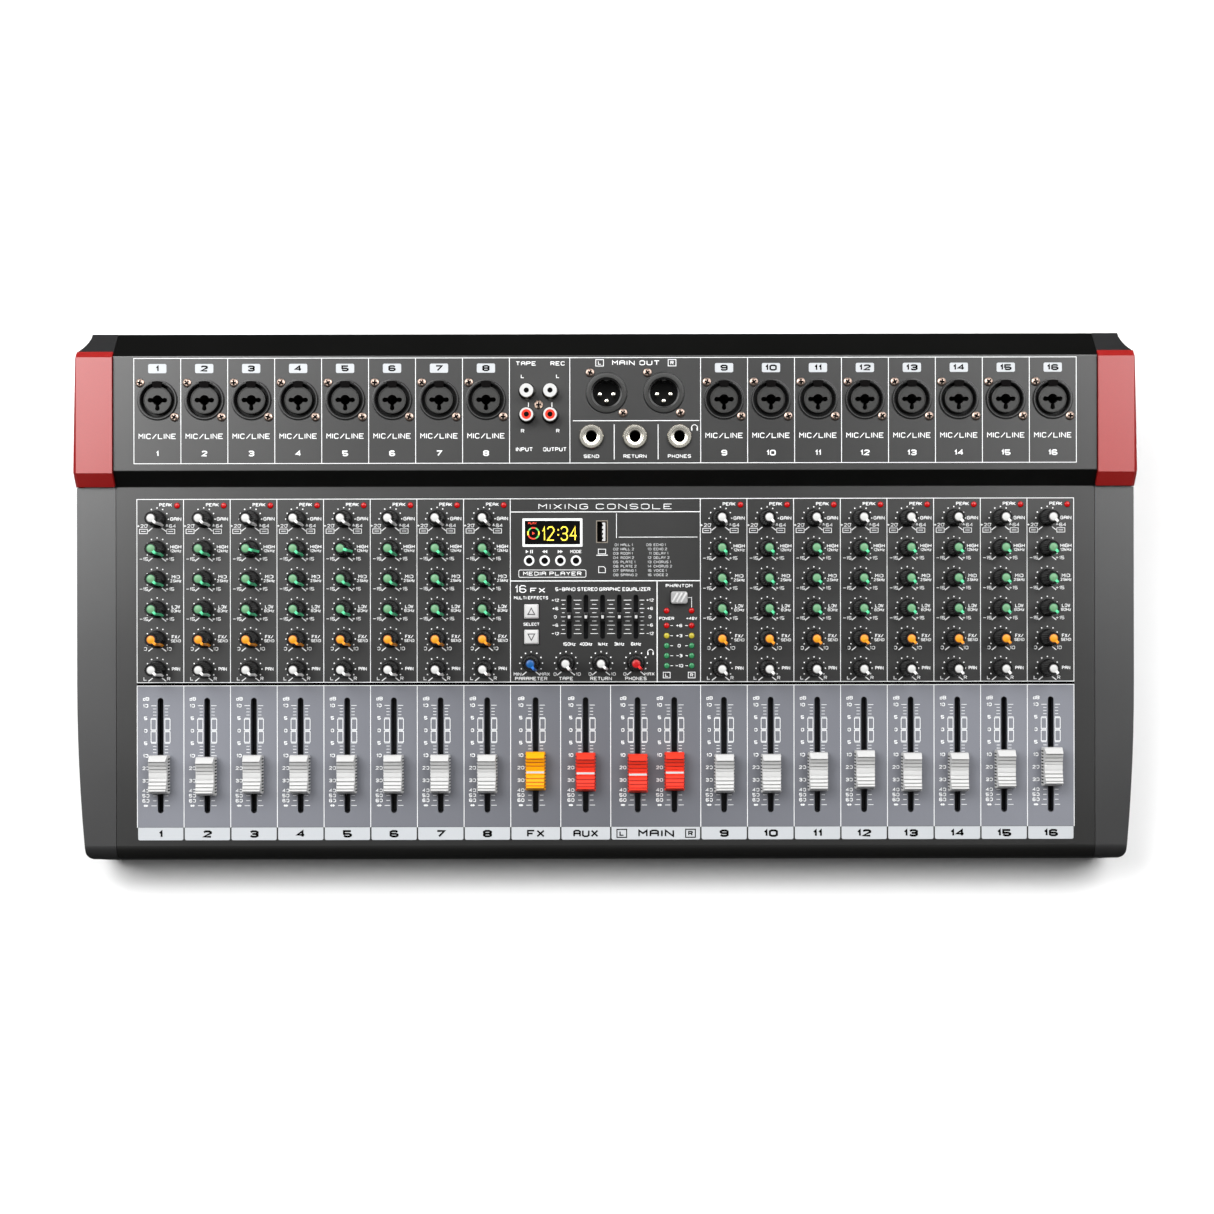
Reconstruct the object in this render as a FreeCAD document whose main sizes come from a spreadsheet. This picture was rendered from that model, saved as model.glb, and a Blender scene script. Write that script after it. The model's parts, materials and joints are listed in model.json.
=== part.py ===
"""A sixteen-channel mixing console as a parametric FreeCAD document, one STEP file for each sub-part.

Millimetres, +X right, +Y away from the player, +Z up. The origin is on the table, under the middle of
the case. Most pieces sit on the sloping control panel, so they are placed by three panel distances: u to
the right, v up the slope and w outward, counted from a point on the panel's centre line.
"""
import FreeCAD, Part
import math
import os
import re
import Sketcher
from FreeCAD import Placement, Rotation, Vector

DIMENSIONS = [
    # the panel's own frame
    ("tilt", 8, "slope of the control panel, degrees"),
    ("panel_y", -8.81, "where the panel's zero point is along Y"),
    ("panel_z", 62, "height of the panel's zero point"),
    # case
    ("foot_height", 6, "height of the rubber feet"),
    ("foot_radius", 9, "radius of a foot"),
    ("foot_x", 262, "feet to the side of the middle"),
    ("foot_y", 118, "feet in front of and behind the middle"),
    ("gauge", 1.5, "sheet of the top panel"),
    ("tray_gauge", 1.2, "sheet of the base tray"),
    ("seam_gap", 0.2, "air between the top panel and the tray"),
    ("fascia_width", 586.8, "width of the top panel"),
    ("front_v", -150.4, "front corner of the top panel before it is rounded"),
    ("front_radius", 9, "outer radius of the front fold"),
    ("fold_radius", 1.2, "radius of the other folds"),
    ("step_v", 72.8, "foot of the step"),
    ("raised_v", 81.8, "top of the step"),
    ("raised_w", 7, "lift of the connector panel over the control panel"),
    ("bevel_v", 150.3, "rear edge of the connector panel"),
    ("rear_v", 165.2, "rear edge of the rear bevel"),
    ("rear_w", -7, "lift of the rear bevel's lower edge"),
    ("rear_lip", 14, "height of the lip over the rear wall"),
    # side cheeks and their red trims
    ("cheek_inner", 293.7, "inner face of a cheek"),
    ("cheek_outer", 317, "outer face of a cheek"),
    ("cheek_wall", 4, "wall of a cheek"),
    ("cheek_hollow", 15, "depth of a cheek's hollow"),
    ("cheek_edge", 1.2, "chamfer of a cheek's outer top edge"),
    ("cheek_curve_v", -45, "where a cheek starts to curve in"),
    ("cheek_nose_u", 312.4, "outer face at the nose"),
    ("cheek_nose_v", -146, "where the nose's corner starts"),
    ("nose_radius", 6, "corner of the nose"),
    ("rear_corner_u", 309.2, "side of the rear corner's curve"),
    ("rear_corner_v", 163, "rear end of the rear corner's curve"),
    ("rear_corner_radius", 17, "curve of the rear corner"),
    ("ledge_w", 6.3, "lift of a cheek under its trim"),
    ("trim_gauge", 2.5, "wall of a trim"),
    ("trim_w", 9, "lift of a trim's top face"),
    ("trim_foot_v", 72.5, "front end of a trim"),
    ("trim_foot_w", 2.8, "lift of a trim's front end"),
    ("trim_front_v", 80.5, "front edge of a trim's top face"),
    ("trim_rear_v", 149.5, "rear edge of a trim's top face"),
    ("trim_tail_v", 153.2, "rear end of a trim"),
    ("trim_tail_w", 5.5, "lift of a trim's rear end"),
    ("trim_skirt_w", -22, "lower edge of a trim's skirt"),
    ("trim_outer", 317.3, "outer face of a trim at its front"),
    ("trim_outer_rear", 315.4, "outer face of a trim at its rear"),
    ("trim_edge", 2.2, "chamfer of a trim's outer edge"),
    # channel strips
    ("strip_pitch", 28, "distance between channels"),
    ("strip_count", 8, "channels in each of the two blocks"),
    ("left_u", -267, "first channel of the left block"),
    ("right_u", 71, "first channel of the right block"),
    # rotary knobs
    ("knob_u", -1.9, "knobs beside the middle of their channel"),
    ("knob_v", 53.4, "top row of knobs"),
    ("knob_pitch", 18, "distance between rows of knobs"),
    ("knob_hole", 3.75, "radius of the panel's holes for shafts"),
    ("knob_bottom", 1, "air under a knob"),
    ("knob_top", 17, "top of a knob"),
    ("skirt_radius", 5.3, "radius of a knob's skirt"),
    ("skirt_top", 2, "top of the skirt's edge"),
    ("grip_radius", 4.1, "radius of a knob's grip at its foot"),
    ("grip_bottom", 5, "foot of the grip"),
    ("crown_radius", 3.55, "radius of the grip at its top"),
    ("crown_edge", 0.5, "chamfer of a knob's top"),
    ("shaft_radius", 3, "radius of a shaft"),
    ("shaft_top", 12.5, "top of a shaft"),
    ("shaft_bottom", -6.8, "lower end of a shaft"),
    ("shaft_play", 0.06, "running clearance of a shaft in its potentiometer"),
    ("pointer_width", 1.2, "width of a knob's pointer rib"),
    ("pointer_radius", 5.1, "reach of the pointer rib"),
    # potentiometers and circuit boards
    ("device_top", -2.5, "top of the potentiometers"),
    ("board_top", -10, "top of the main circuit board"),
    ("board_gauge", 1.6, "thickness of a circuit board"),
    ("board_front_v", -138.4, "front edge of the main circuit board"),
    ("board_rear_v", 65.5, "rear edge of the main circuit board"),
    ("inputs_front_v", 87.8, "front edge of the connectors' circuit board"),
    ("inputs_rear_v", 148.3, "rear edge of the connectors' circuit board"),
    ("board_width", 558.8, "width of the circuit boards"),
    ("pot_side", 11, "side of a rotary potentiometer"),
    ("switch_side", 6, "side of a player button's switch"),
    ("switch_top", -5, "top of a player button's switch"),
    ("wide_switch_side", 8, "side of a square button's switch"),
    ("wide_switch_top", -7.4, "top of a square button's switch"),
    # faders
    ("slot_v", -88.4, "middle of the fader slots"),
    ("slot_length", 69, "length of a fader slot"),
    ("slot_width", 3.4, "width of a fader slot"),
    ("cap_bottom", 1.8, "air under a fader's cap"),
    ("cap_top", 11, "top of a fader's cap"),
    ("cap_shoulder", 7, "height of the bend in the cap's rear"),
    ("cap_length", 23.3, "length of a cap at its foot"),
    ("cap_width", 11.7, "width of a cap"),
    ("cap_front_crest", 9.3, "front crest of the cap, before its middle"),
    ("cap_rear_crest", 8.4, "rear crest of the cap, behind its middle"),
    ("cap_dip", 3.2, "depth of the hollow between the crests"),
    ("lever_width", 1.6, "width of a slide lever"),
    ("lever_length", 5, "length of a slide lever"),
    ("lever_top", 6, "top of a slide lever"),
    ("lever_bottom", -6.5, "lower end of a slide lever"),
    ("slider_width", 9, "width of a slide potentiometer"),
    ("slider_length", 75, "length of a long slide potentiometer"),
    ("slider_groove", 2.4, "width of the groove for the lever"),
    ("slider_travel", 60, "travel of a long slide potentiometer"),
    # equaliser
    ("eq_u", -21.7, "first equaliser slider"),
    ("eq_pitch", 10, "distance between equaliser sliders"),
    ("eq_v", -5.6, "middle of the equaliser's slots"),
    ("eq_slot_length", 26.7, "length of an equaliser slot"),
    ("eq_slot_width", 2.9, "width of an equaliser slot"),
    ("eq_lever_width", 2.3, "width of an equaliser lever"),
    ("eq_lever_length", 5.4, "length of an equaliser lever"),
    ("eq_lever_top", 7, "top of an equaliser lever"),
    ("eq_slider_width", 8, "width of a short slide potentiometer"),
    ("eq_slider_length", 33, "length of a short slide potentiometer"),
    ("eq_travel", 20, "travel of a short slide potentiometer"),
    # master section
    ("master_knob_v", -33.3, "row of the master knobs"),
    ("window_u", -31.7, "middle of the display window"),
    ("window_v", 45, "middle of the display window"),
    ("window_width", 33.2, "width of the display window"),
    ("window_height", 14.2, "height of the display window"),
    ("port_u", -2, "middle of the USB port"),
    ("port_v", 45.5, "middle of the USB port"),
    ("port_width", 6.7, "outer width of the USB port's shell"),
    ("port_height", 13.2, "outer height of the USB port's shell"),
    ("port_gauge", 0.4, "sheet of the USB port's shell"),
    ("tongue_u", 1.1, "port's tongue beside the port's middle"),
    ("tongue_gauge", 1.8, "thickness of the port's tongue"),
    ("tongue_width", 11, "width of the port's tongue"),
    ("tongue_top", -0.7, "top of the port's tongue"),
    ("module_top", 0.3, "window and port over the panel"),
    ("module_play", 0.1, "air round the window in the panel"),
    ("player_button_v", 28.2, "row of the player's buttons"),
    ("player_button_radius", 1.75, "radius of a player button"),
    ("player_button_top", 1.2, "top of a player button"),
    ("select_u", -44.4, "effect select buttons"),
    ("select_upper_v", -2.3, "upper effect select button"),
    ("select_lower_v", -17.6, "lower effect select button"),
    ("select_side", 8.9, "side of a select button"),
    ("select_top", 2.2, "top of a select button"),
    ("phantom_u", 44.2, "phantom power button"),
    ("phantom_v", 5.9, "phantom power button"),
    ("phantom_width", 9.9, "width of the phantom power button"),
    ("phantom_height", 7.3, "height of the phantom power button"),
    ("phantom_top", 4.5, "top of the phantom power button"),
    ("button_bottom", -4, "lower end of the buttons"),
    ("button_play", 0.35, "air round a button in the panel"),
    # lamps
    ("lamp_u", 10.1, "peak lamp beside the middle of its channel"),
    ("lamp_v", 61.5, "row of the peak lamps"),
    ("lamp_radius", 1.45, "radius of a lamp"),
    ("lamp_hole", 1.6, "radius of a lamp's hole"),
    ("lamp_top", 0.7, "top of a lamp"),
    ("meter_left_u", 36.7, "left column of the level meter"),
    ("meter_right_u", 51.7, "right column of the level meter"),
    # connectors on the raised panel
    ("socket_v", 124.1, "row of the channel sockets"),
    ("socket_ring", 11.5, "radius of a channel socket's ring"),
    ("socket_hole", 11.7, "radius of the panel's hole for it"),
    ("socket_lip", 0.6, "ring over the panel"),
    ("groove_radius", 9.8, "outer radius of the ring's groove"),
    ("insert_radius", 7.4, "radius of the insert in the groove"),
    ("jack_radius", 3.25, "radius of a phone jack's bore"),
    ("jack_bottom", -25, "lower end of a phone jack's bore"),
    ("connector_bottom", -27, "lower end of the connectors"),
    ("lobe_radius", 1.4, "radius of the lobes round the bore"),
    ("lobe_reach", 4.2, "distance of the lobes from the bore's axis"),
    ("lobe_depth", 1.5, "depth of the lobes"),
    ("flange_width", 26, "width of a connector's flange"),
    ("flange_height", 30, "height of a connector's flange"),
    ("flange_gauge", 2, "thickness of a connector's flange"),
    ("socket_screw_u", 10.25, "fixing screws of a channel socket, sideways"),
    ("socket_screw_v", 10.2, "fixing screws of a channel socket, up the slope"),
    ("output_left_u", 0.9, "left main output"),
    ("output_right_u", 35.1, "right main output"),
    ("output_v", 128, "row of the main outputs"),
    ("output_ring", 12.2, "radius of a main output's ring"),
    ("output_hole", 12.4, "radius of the panel's hole for it"),
    ("output_cavity", 8.15, "radius of a main output's cavity"),
    ("output_floor", -9, "floor of a main output's cavity"),
    ("output_screw_u", 9.8, "fixing screws of a main output, sideways"),
    ("output_screw_v", 12, "fixing screws of a main output, up the slope"),
    ("pin_radius", 1.2, "radius of an output's pins"),
    ("pin_top", 5, "top of an output's pins"),
    ("jack_v", 101.9, "row of the phone jacks"),
    ("nut_radius", 7.2, "radius of a phone jack's nut"),
    ("nut_top", 9.6, "top of a phone jack's nut"),
    ("barrel_radius", 5, "radius of a phone jack's barrel"),
    ("barrel_hole", 5.2, "radius of the panel's hole for it"),
    ("jack_side", 15, "side of a phone jack's housing"),
    ("phono_left_u", -46.6, "left column of the tape sockets"),
    ("phono_right_u", -32.6, "right column of the tape sockets"),
    ("phono_upper_v", 128.8, "upper row of the tape sockets"),
    ("phono_lower_v", 114.6, "lower row of the tape sockets"),
    ("phono_screw_v", 121, "fixing screw of the tape sockets"),
    ("phono_radius", 4.15, "radius of a tape socket's barrel"),
    ("phono_stem", 3.95, "radius of a tape socket behind the panel"),
    ("phono_top", 15.5, "top of a tape socket's barrel"),
    ("phono_hole", 4.6, "radius of the panel's hole for it"),
    ("phono_bore", 1.6, "radius of a tape socket's centre contact"),
    ("phono_block_width", 26, "width of the block that carries the tape sockets"),
    ("phono_block_height", 30, "height of that block, up the slope"),
    ("phono_block_gauge", 4, "thickness of that block"),
    # screws
    ("screw_head", 2.4, "radius of a screw's head"),
    ("screw_head_height", 1.5, "height of a screw's head"),
    ("screw_radius", 1.3, "radius of a screw's thread"),
    ("screw_length", 6, "length of a screw's thread"),
    ("screw_hole", 1.4, "radius of the holes for screws"),
    ("case_screw_x", 270, "outermost screws of the rear lip"),
    ("case_screw_count", 7, "screws along the rear lip"),
    ("case_screw_drop", 8, "screws below the rear bevel"),
    ("rear_hole_depth", 8, "how far in front of the rear face its screw holes begin"),
    ("cheek_screw_x", 303, "screws under the cheeks"),
    ("cheek_screw_y", 110, "screws under the cheeks, front and rear"),
    # mains inlet and its switch
    ("inlet_x", 205, "middle of the inlet module"),
    ("inlet_z", 29, "height of the inlet module's middle"),
    ("inlet_width", 47, "width of the inlet module's body"),
    ("inlet_height", 27, "height of the inlet module's body"),
    ("inlet_depth", 24, "depth of the inlet module's body"),
    ("inlet_flange", 2, "thickness and overhang of its flange"),
    ("cavity_width", 24, "width of the plug's cavity"),
    ("cavity_height", 16.4, "height of the plug's cavity"),
    ("cavity_depth", 16, "depth of the plug's cavity"),
    ("cavity_x", 9, "plug's cavity beside the module's middle"),
    ("blade_width", 2, "thickness of a mains blade"),
    ("blade_height", 4, "height of a mains blade"),
    ("blade_recess", 5, "blades behind the cavity's mouth"),
    ("blade_pitch", 7, "distance between mains blades"),
    ("blade_offset", 1.5, "middle blade above, and outer blades below, the module's middle"),
    ("rocker_x", -14, "switch beside the module's middle"),
    ("rocker_width", 13, "width of the switch's rocker"),
    ("rocker_half", 9.5, "half the height of the rocker"),
    ("rocker_nose", 3.4, "rocker's tips in front of its pivot"),
    ("rocker_waist", 2.2, "rocker's middle in front of its pivot"),
    ("rocker_back", 3, "rocker's tips behind its pivot"),
    ("rocker_play", 0.4, "air round the rocker"),
    ("rocker_tilt", 8, "lean of the rocker at rest, degrees"),
    ("pivot_depth", 3, "pivot below the flange's face"),
    ("pivot_radius", 1.2, "radius of the rocker's pivot pins"),
    ("pivot_length", 17, "length over the pivot pins"),
    # power supply
    ("transformer_x", 80, "middle of the transformer"),
    ("transformer_y", 108, "middle of the transformer"),
    ("transformer_radius", 32, "radius of the transformer"),
    ("transformer_height", 27, "height of the transformer"),
    ("transformer_core", 8, "radius of the transformer's hole"),
    ("supply_x", -15, "middle of the power supply's board"),
    ("supply_width", 100, "width of the power supply's board"),
    ("supply_length", 70, "length of the power supply's board"),
    ("supply_lift", 8, "top of the power supply's board over the tray"),
    ("standoff_radius", 2.5, "radius of a standoff"),
]

# the faders' rest positions, up the slope
CHANNEL_FADER_V = [-99.6, -100.7, -99.6, -99.6, -99.6, -99.6, -99.5, -99.5,
                   -99.5, -99.5, -98.5, -97.3, -98.8, -98.8, -97.2, -95.7]
GROUP_FADERS = {
    "effects_fader": (-42, -97.9),
    "media_fader": (-12, -98.5),
    "main_left_fader": (19.2, -99.3),
    "main_right_fader": (41.2, -98.2),
}
KNOB_ROWS = ["gain", "high", "mid", "low", "effects", "pan"]
KNOB_TURN = 137
MASTER_KNOBS = {
    "parameter_knob": (-44.6, 146),
    "tape_knob": (-23.7, 147),
    "return_knob": (-2.7, 135),
    "phones_knob": (18.2, 136),
}
EQ_BANDS = ["150hz", "400hz", "1khz", "3khz", "6khz"]
PLAYER_BUTTONS = {
    "play_button": -45.7,
    "previous_button": -36.4,
    "next_button": -27.0,
    "mode_button": -17.6,
}
STATUS_LAMPS = [(36.7, -2), (51.7, -2)]
METER_V = [-10.9, -17, -23, -29, -35]
JACK_U = [-8.2, 17.8, 44.3]
STANDOFF_U = [-253, -141, -56.5, 56.5, 141, 253]
STANDOFF_V = [-46, 57]

doc = FreeCAD.newDocument("mixing_console")
sheet = doc.addObject("Spreadsheet::Sheet", "params")
NAMES = {name for name, _, _ in DIMENSIONS}
nodes = []


# ---------------------------------------------------------------- sheet, sketches and features

def fill_sheet():
    for row, (name, value, meaning) in enumerate(DIMENSIONS, start=1):
        sheet.set(f"A{row}", meaning)
        sheet.set(f"B{row}", str(value))
        sheet.setAlias(f"B{row}", name)
    doc.recompute()


def number(expression):
    """An expression's value, in the sheet's own names."""
    value = sheet.evalExpression(str(expression))
    return float(getattr(value, "Value", value))


def bind(obj, prop, expression):
    """Ties a property to the sheet."""
    text = re.sub(r"[a-z_]+", lambda m: "params." + m[0] if m[0] in NAMES else m[0], str(expression))
    obj.setExpression(prop, text)


def world_y(v, w):
    return f"(panel_y + ({v}) * cos(tilt) - ({w}) * sin(tilt))"


def world_z(v, w):
    return f"(panel_z + ({v}) * sin(tilt) + ({w}) * cos(tilt))"


def new_body(name):
    return doc.addObject("PartDesign::Body", name)


def origin_part(body, role):
    return next(f for f in body.Origin.OriginFeatures if f.Role == role)


def new_sketch(body, role="XY_Plane"):
    sketch = body.newObject("Sketcher::SketchObject", body.Name + "_sketch")
    sketch.AttachmentSupport = [(origin_part(body, role), "")]
    sketch.MapMode = "FlatFace"
    return sketch


def new_raised_sketch(body, lift):
    """A sketch on a level plane, lifted over the body's origin."""
    sketch = new_sketch(body)
    bind(sketch, "AttachmentOffset.Base.z", lift)
    return sketch


def new_panel_sketch(body):
    """A sketch on the plane of the control panel."""
    sketch = new_sketch(body)
    sketch.AttachmentOffset = Placement(Vector(), Rotation(Vector(1, 0, 0), 1))
    bind(sketch, "AttachmentOffset.Base.y", "panel_y")
    bind(sketch, "AttachmentOffset.Base.z", "panel_z")
    bind(sketch, "AttachmentOffset.Rotation.Angle", "tilt")
    return sketch


def hold(sketch, kind, expression, *where):
    """Adds a dimension and ties it to the sheet."""
    index = sketch.addConstraint(Sketcher.Constraint(kind, *where, number(expression)))
    bind(sketch, f"Constraints[{index}]", expression)


def hold_point(sketch, geometry, end, x, y):
    hold(sketch, "DistanceX", x, -1, 1, geometry, end)
    hold(sketch, "DistanceY", y, -1, 1, geometry, end)


def polygon(sketch, corners, dips=()):
    """A closed outline through corners. dips gives, for a side's number, the radius of an arc in its
    place and the side its centre is on: 1 to the left of the way round, -1 to the right."""
    dips = dict(dips)
    points = [Vector(number(x), number(y), 0) for x, y in corners]
    ends = []
    for i, start in enumerate(points):
        stop = points[(i + 1) % len(points)]
        if i in dips:
            radius, side = dips[i]
            half = (stop - start) * 0.5
            left = Vector(-half.y, half.x, 0).normalize()
            rise = number(radius) - math.sqrt(number(radius) ** 2 - half.Length ** 2)
            index = sketch.addGeometry(Part.Arc(start, start + half - left * side * rise, stop))
            swapped = (sketch.getPoint(index, 1) - start).Length > (sketch.getPoint(index, 2) - start).Length
            ends.append((index, 2, 1) if swapped else (index, 1, 2))
            hold(sketch, "Radius", radius, index)
        else:
            ends.append((sketch.addGeometry(Part.LineSegment(start, stop)), 1, 2))
    for i, (index, first, last) in enumerate(ends):
        following, entry, _ = ends[(i + 1) % len(ends)]
        sketch.addConstraint(Sketcher.Constraint("Coincident", index, last, following, entry))
        hold_point(sketch, index, first, *corners[i])


def rectangle(sketch, x, y, width, height):
    left, right = f"{x} - ({width}) / 2", f"{x} + ({width}) / 2"
    low, high = f"{y} - ({height}) / 2", f"{y} + ({height}) / 2"
    polygon(sketch, [(left, low), (right, low), (right, high), (left, high)])


def circle(sketch, x, y, radius):
    centre = Vector(number(x), number(y), 0)
    index = sketch.addGeometry(Part.Circle(centre, Vector(0, 0, 1), number(radius)))
    hold(sketch, "Radius", radius, index)
    hold_point(sketch, index, 3, x, y)


def slot(sketch, x, y, length, width):
    """An upright slot with round ends."""
    radius = number(width) / 2
    left, right = f"{x} - {width} / 2", f"{x} + {width} / 2"
    low, high = f"{y} - ({length} - {width}) / 2", f"{y} + ({length} - {width}) / 2"
    corner = {(a, b): Vector(number(a), number(b), 0) for a in (left, right) for b in (low, high)}
    rise = sketch.addGeometry(Part.LineSegment(corner[right, low], corner[right, high]))
    fall = sketch.addGeometry(Part.LineSegment(corner[left, high], corner[left, low]))
    ends = []
    for level, first in ((high, 0), (low, math.pi)):
        round_end = Part.Circle(Vector(number(x), number(level), 0), Vector(0, 0, 1), radius)
        ends.append(sketch.addGeometry(Part.ArcOfCircle(round_end, first, first + math.pi)))
        hold(sketch, "DistanceY", level, -1, 1, ends[-1], 3)
    for a, a_end, b, b_end in ((rise, 2, ends[0], 1), (ends[0], 2, fall, 1),
                               (fall, 2, ends[1], 1), (ends[1], 2, rise, 1)):
        sketch.addConstraint(Sketcher.Constraint("Coincident", a, a_end, b, b_end))
    hold_point(sketch, rise, 1, right, low)
    hold_point(sketch, rise, 2, right, high)
    hold_point(sketch, fall, 1, left, high)
    hold_point(sketch, fall, 2, left, low)


def inset(points, distance):
    """The corners of a line of points moved to its right by distance, with its first and last end square."""
    ways = [(b - a).normalize() for a, b in zip(points, points[1:])]
    rights = [Vector(way.y, -way.x, 0) for way in ways]
    moved = [points[0] + rights[0] * distance]
    for point, before, after in zip(points[1:], rights, rights[1:]):
        moved.append(point + (before + after) * (distance / (1 + before.dot(after))))
    return moved + [points[-1] + rights[-1] * distance]


def inset_outline(sketch, corners, distance, floor=None):
    """Lines kept parallel to a line of corners and at a distance to its right. With no floor, the two
    lines and their square ends close a folded sheet. With a floor, the outer line only guides the inner
    one, which is closed along that level."""
    outer = [Vector(number(x), number(y), 0) for x, y in corners]
    inner = inset(outer, number(distance))
    guides = [sketch.addGeometry(Part.LineSegment(a, b), floor is not None)
              for a, b in zip(outer, outer[1:])]
    sides = [sketch.addGeometry(Part.LineSegment(a, b)) for a, b in zip(inner, inner[1:])]
    for chain in (guides, sides):
        for a, b in zip(chain, chain[1:]):
            sketch.addConstraint(Sketcher.Constraint("Coincident", a, 2, b, 1))
    for guide, (x, y) in zip(guides, corners):
        hold_point(sketch, guide, 1, x, y)
    hold_point(sketch, guides[-1], 2, *corners[-1])
    for guide, side in zip(guides, sides):
        sketch.addConstraint(Sketcher.Constraint("Parallel", guide, side))
        hold(sketch, "Distance", distance, side, 1, guide)
    if floor is None:
        for guide, side, end in ((guides[0], sides[0], 1), (guides[-1], sides[-1], 2)):
            cap = sketch.addGeometry(Part.LineSegment(sketch.getPoint(guide, end), sketch.getPoint(side, end)))
            sketch.addConstraint(Sketcher.Constraint("Coincident", cap, 1, guide, end))
            sketch.addConstraint(Sketcher.Constraint("Coincident", cap, 2, side, end))
            sketch.addConstraint(Sketcher.Constraint("Perpendicular", cap, guide))
    else:
        base = sketch.addGeometry(Part.LineSegment(inner[-1], inner[0]))
        sketch.addConstraint(Sketcher.Constraint("Coincident", base, 1, sides[-1], 2))
        sketch.addConstraint(Sketcher.Constraint("Coincident", base, 2, sides[0], 1))
        hold(sketch, "DistanceY", floor, -1, 1, base, 1)
        hold(sketch, "DistanceY", floor, -1, 1, base, 2)


def extrude(body, kind, sketch, length, way="One side", reverse=False):
    """A pad or a pocket of a sketch. A pocket has to take material away, and a pad to add it."""
    before = body.Shape.Volume if body.Tip else 0
    feature = body.newObject("PartDesign::" + kind, f"{body.Name}_{kind.lower()}")
    feature.Profile = sketch
    feature.SideType = way
    feature.Reversed = reverse
    bind(feature, "Length", length)
    doc.recompute()
    change = body.Shape.Volume - before
    if change * (1 if kind == "Pad" else -1) <= 0:
        raise RuntimeError(f"{feature.Name} changes nothing")
    return feature


def pad(body, sketch, length, way="One side", reverse=False):
    return extrude(body, "Pad", sketch, length, way, reverse)


def pocket(body, sketch, length, way="One side", reverse=False):
    return extrude(body, "Pocket", sketch, length, way, reverse)


def revolve(body, sketch):
    feature = body.newObject("PartDesign::Revolution", body.Name + "_revolution")
    feature.Profile = sketch
    feature.ReferenceAxis = (origin_part(body, "Z_Axis"), [""])
    feature.Angle = 360
    doc.recompute()
    return feature


def repeat(body, feature, length, count):
    """Repeats a feature along X and makes the row the body's tip."""
    row = body.newObject("PartDesign::LinearPattern", feature.Name + "_row")
    row.Originals = [feature]
    row.Direction = (origin_part(body, "X_Axis"), [""])
    bind(row, "Length", length)
    bind(row, "Occurrences", count)
    body.Tip = row
    doc.recompute()


def dress(body, kind, prop, size, near):
    """Fillets or chamfers the edges that pass through the points near."""
    base = body.Tip
    edges = base.Shape.Edges
    names = []
    for point in near:
        vertex = Part.Vertex(point)
        index = min(range(len(edges)), key=lambda i: edges[i].distToShape(vertex)[0])
        names.append(f"Edge{index + 1}")
    feature = body.newObject("PartDesign::" + kind, f"{body.Name}_{kind.lower()}")
    feature.Base = (base, names)
    bind(feature, prop, size)
    doc.recompute()


def on_panel(u, v, w=0, turn=0):
    """The placement of a piece on the control panel, turned to the left about its own axis."""
    panel = Placement(Vector(0, number("panel_y"), number("panel_z")), Rotation(Vector(1, 0, 0), number("tilt")))
    return panel * Placement(Vector(u, v, w), Rotation(Vector(0, 0, 1), turn))


def keep(obj, label):
    """Makes an object one of the console's sub-parts."""
    obj.Label = label
    nodes.append(obj)
    return obj


def join(label, units, place=Placement()):
    """A sub-part made of one or more unit bodies, at a placement of its own."""
    node = doc.addObject("Part::Compound", label)
    node.Links = units
    node.Placement = place
    return keep(node, label)


def group(label, members):
    """A sub-part made of separate copies of unit bodies: pairs of a unit and a placement."""
    node = doc.addObject("Part::Feature", label)
    solids = []
    for unit, place in members:
        copy = unit.Shape.copy()
        copy.Placement = place * copy.Placement
        solids.append(copy)
    node.Shape = Part.makeCompound(solids)
    return keep(node, label)


def block(name, x, y, z, width, height, depth):
    """A plain rectangular body about x, y, whose top is at z."""
    body = new_body(name)
    sketch = new_raised_sketch(body, z)
    rectangle(sketch, x, y, width, height)
    pad(body, sketch, depth, reverse=True)
    return body


def disc(name, x, y, radius, bottom, top):
    body = new_body(name)
    sketch = new_raised_sketch(body, bottom)
    circle(sketch, x, y, radius)
    pad(body, sketch, f"({top}) - ({bottom})")
    return body


def strip_places():
    """The channels' middles, from the first to the sixteenth."""
    pitch = number("strip_pitch")
    count = int(number("strip_count"))
    return [number(first) + pitch * i for first in ("left_u", "right_u") for i in range(count)]


def knob_row(i):
    return number(f"knob_v - knob_pitch * {i}")


# ---------------------------------------------------------------- case

def case_corners(lip_end):
    """The case's outer line in YZ, from the front wall's foot over the panels to the rear."""
    corner_y, corner_z = world_y("rear_v", "rear_w"), world_z("rear_v", "rear_w")
    rear_foot = f"{corner_z} - rear_lip" if lip_end else "foot_height"
    return [
        (world_y("front_v", "0"), "foot_height"),
        (world_y("front_v", "0"), world_z("front_v", "0")),
        (world_y("step_v", "0"), world_z("step_v", "0")),
        (world_y("raised_v", "raised_w"), world_z("raised_v", "raised_w")),
        (world_y("bevel_v", "raised_w"), world_z("bevel_v", "raised_w")),
        (corner_y, corner_z),
        (corner_y, rear_foot),
    ]


def corner_points(corners, distance=0):
    """Where the folds of a line of corners are, on the plane X = 0."""
    flat = [Vector(number(y), number(z), 0) for y, z in corners]
    return [Vector(0, p.x, p.y) for p in inset(flat, distance)][1:-1]


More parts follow.
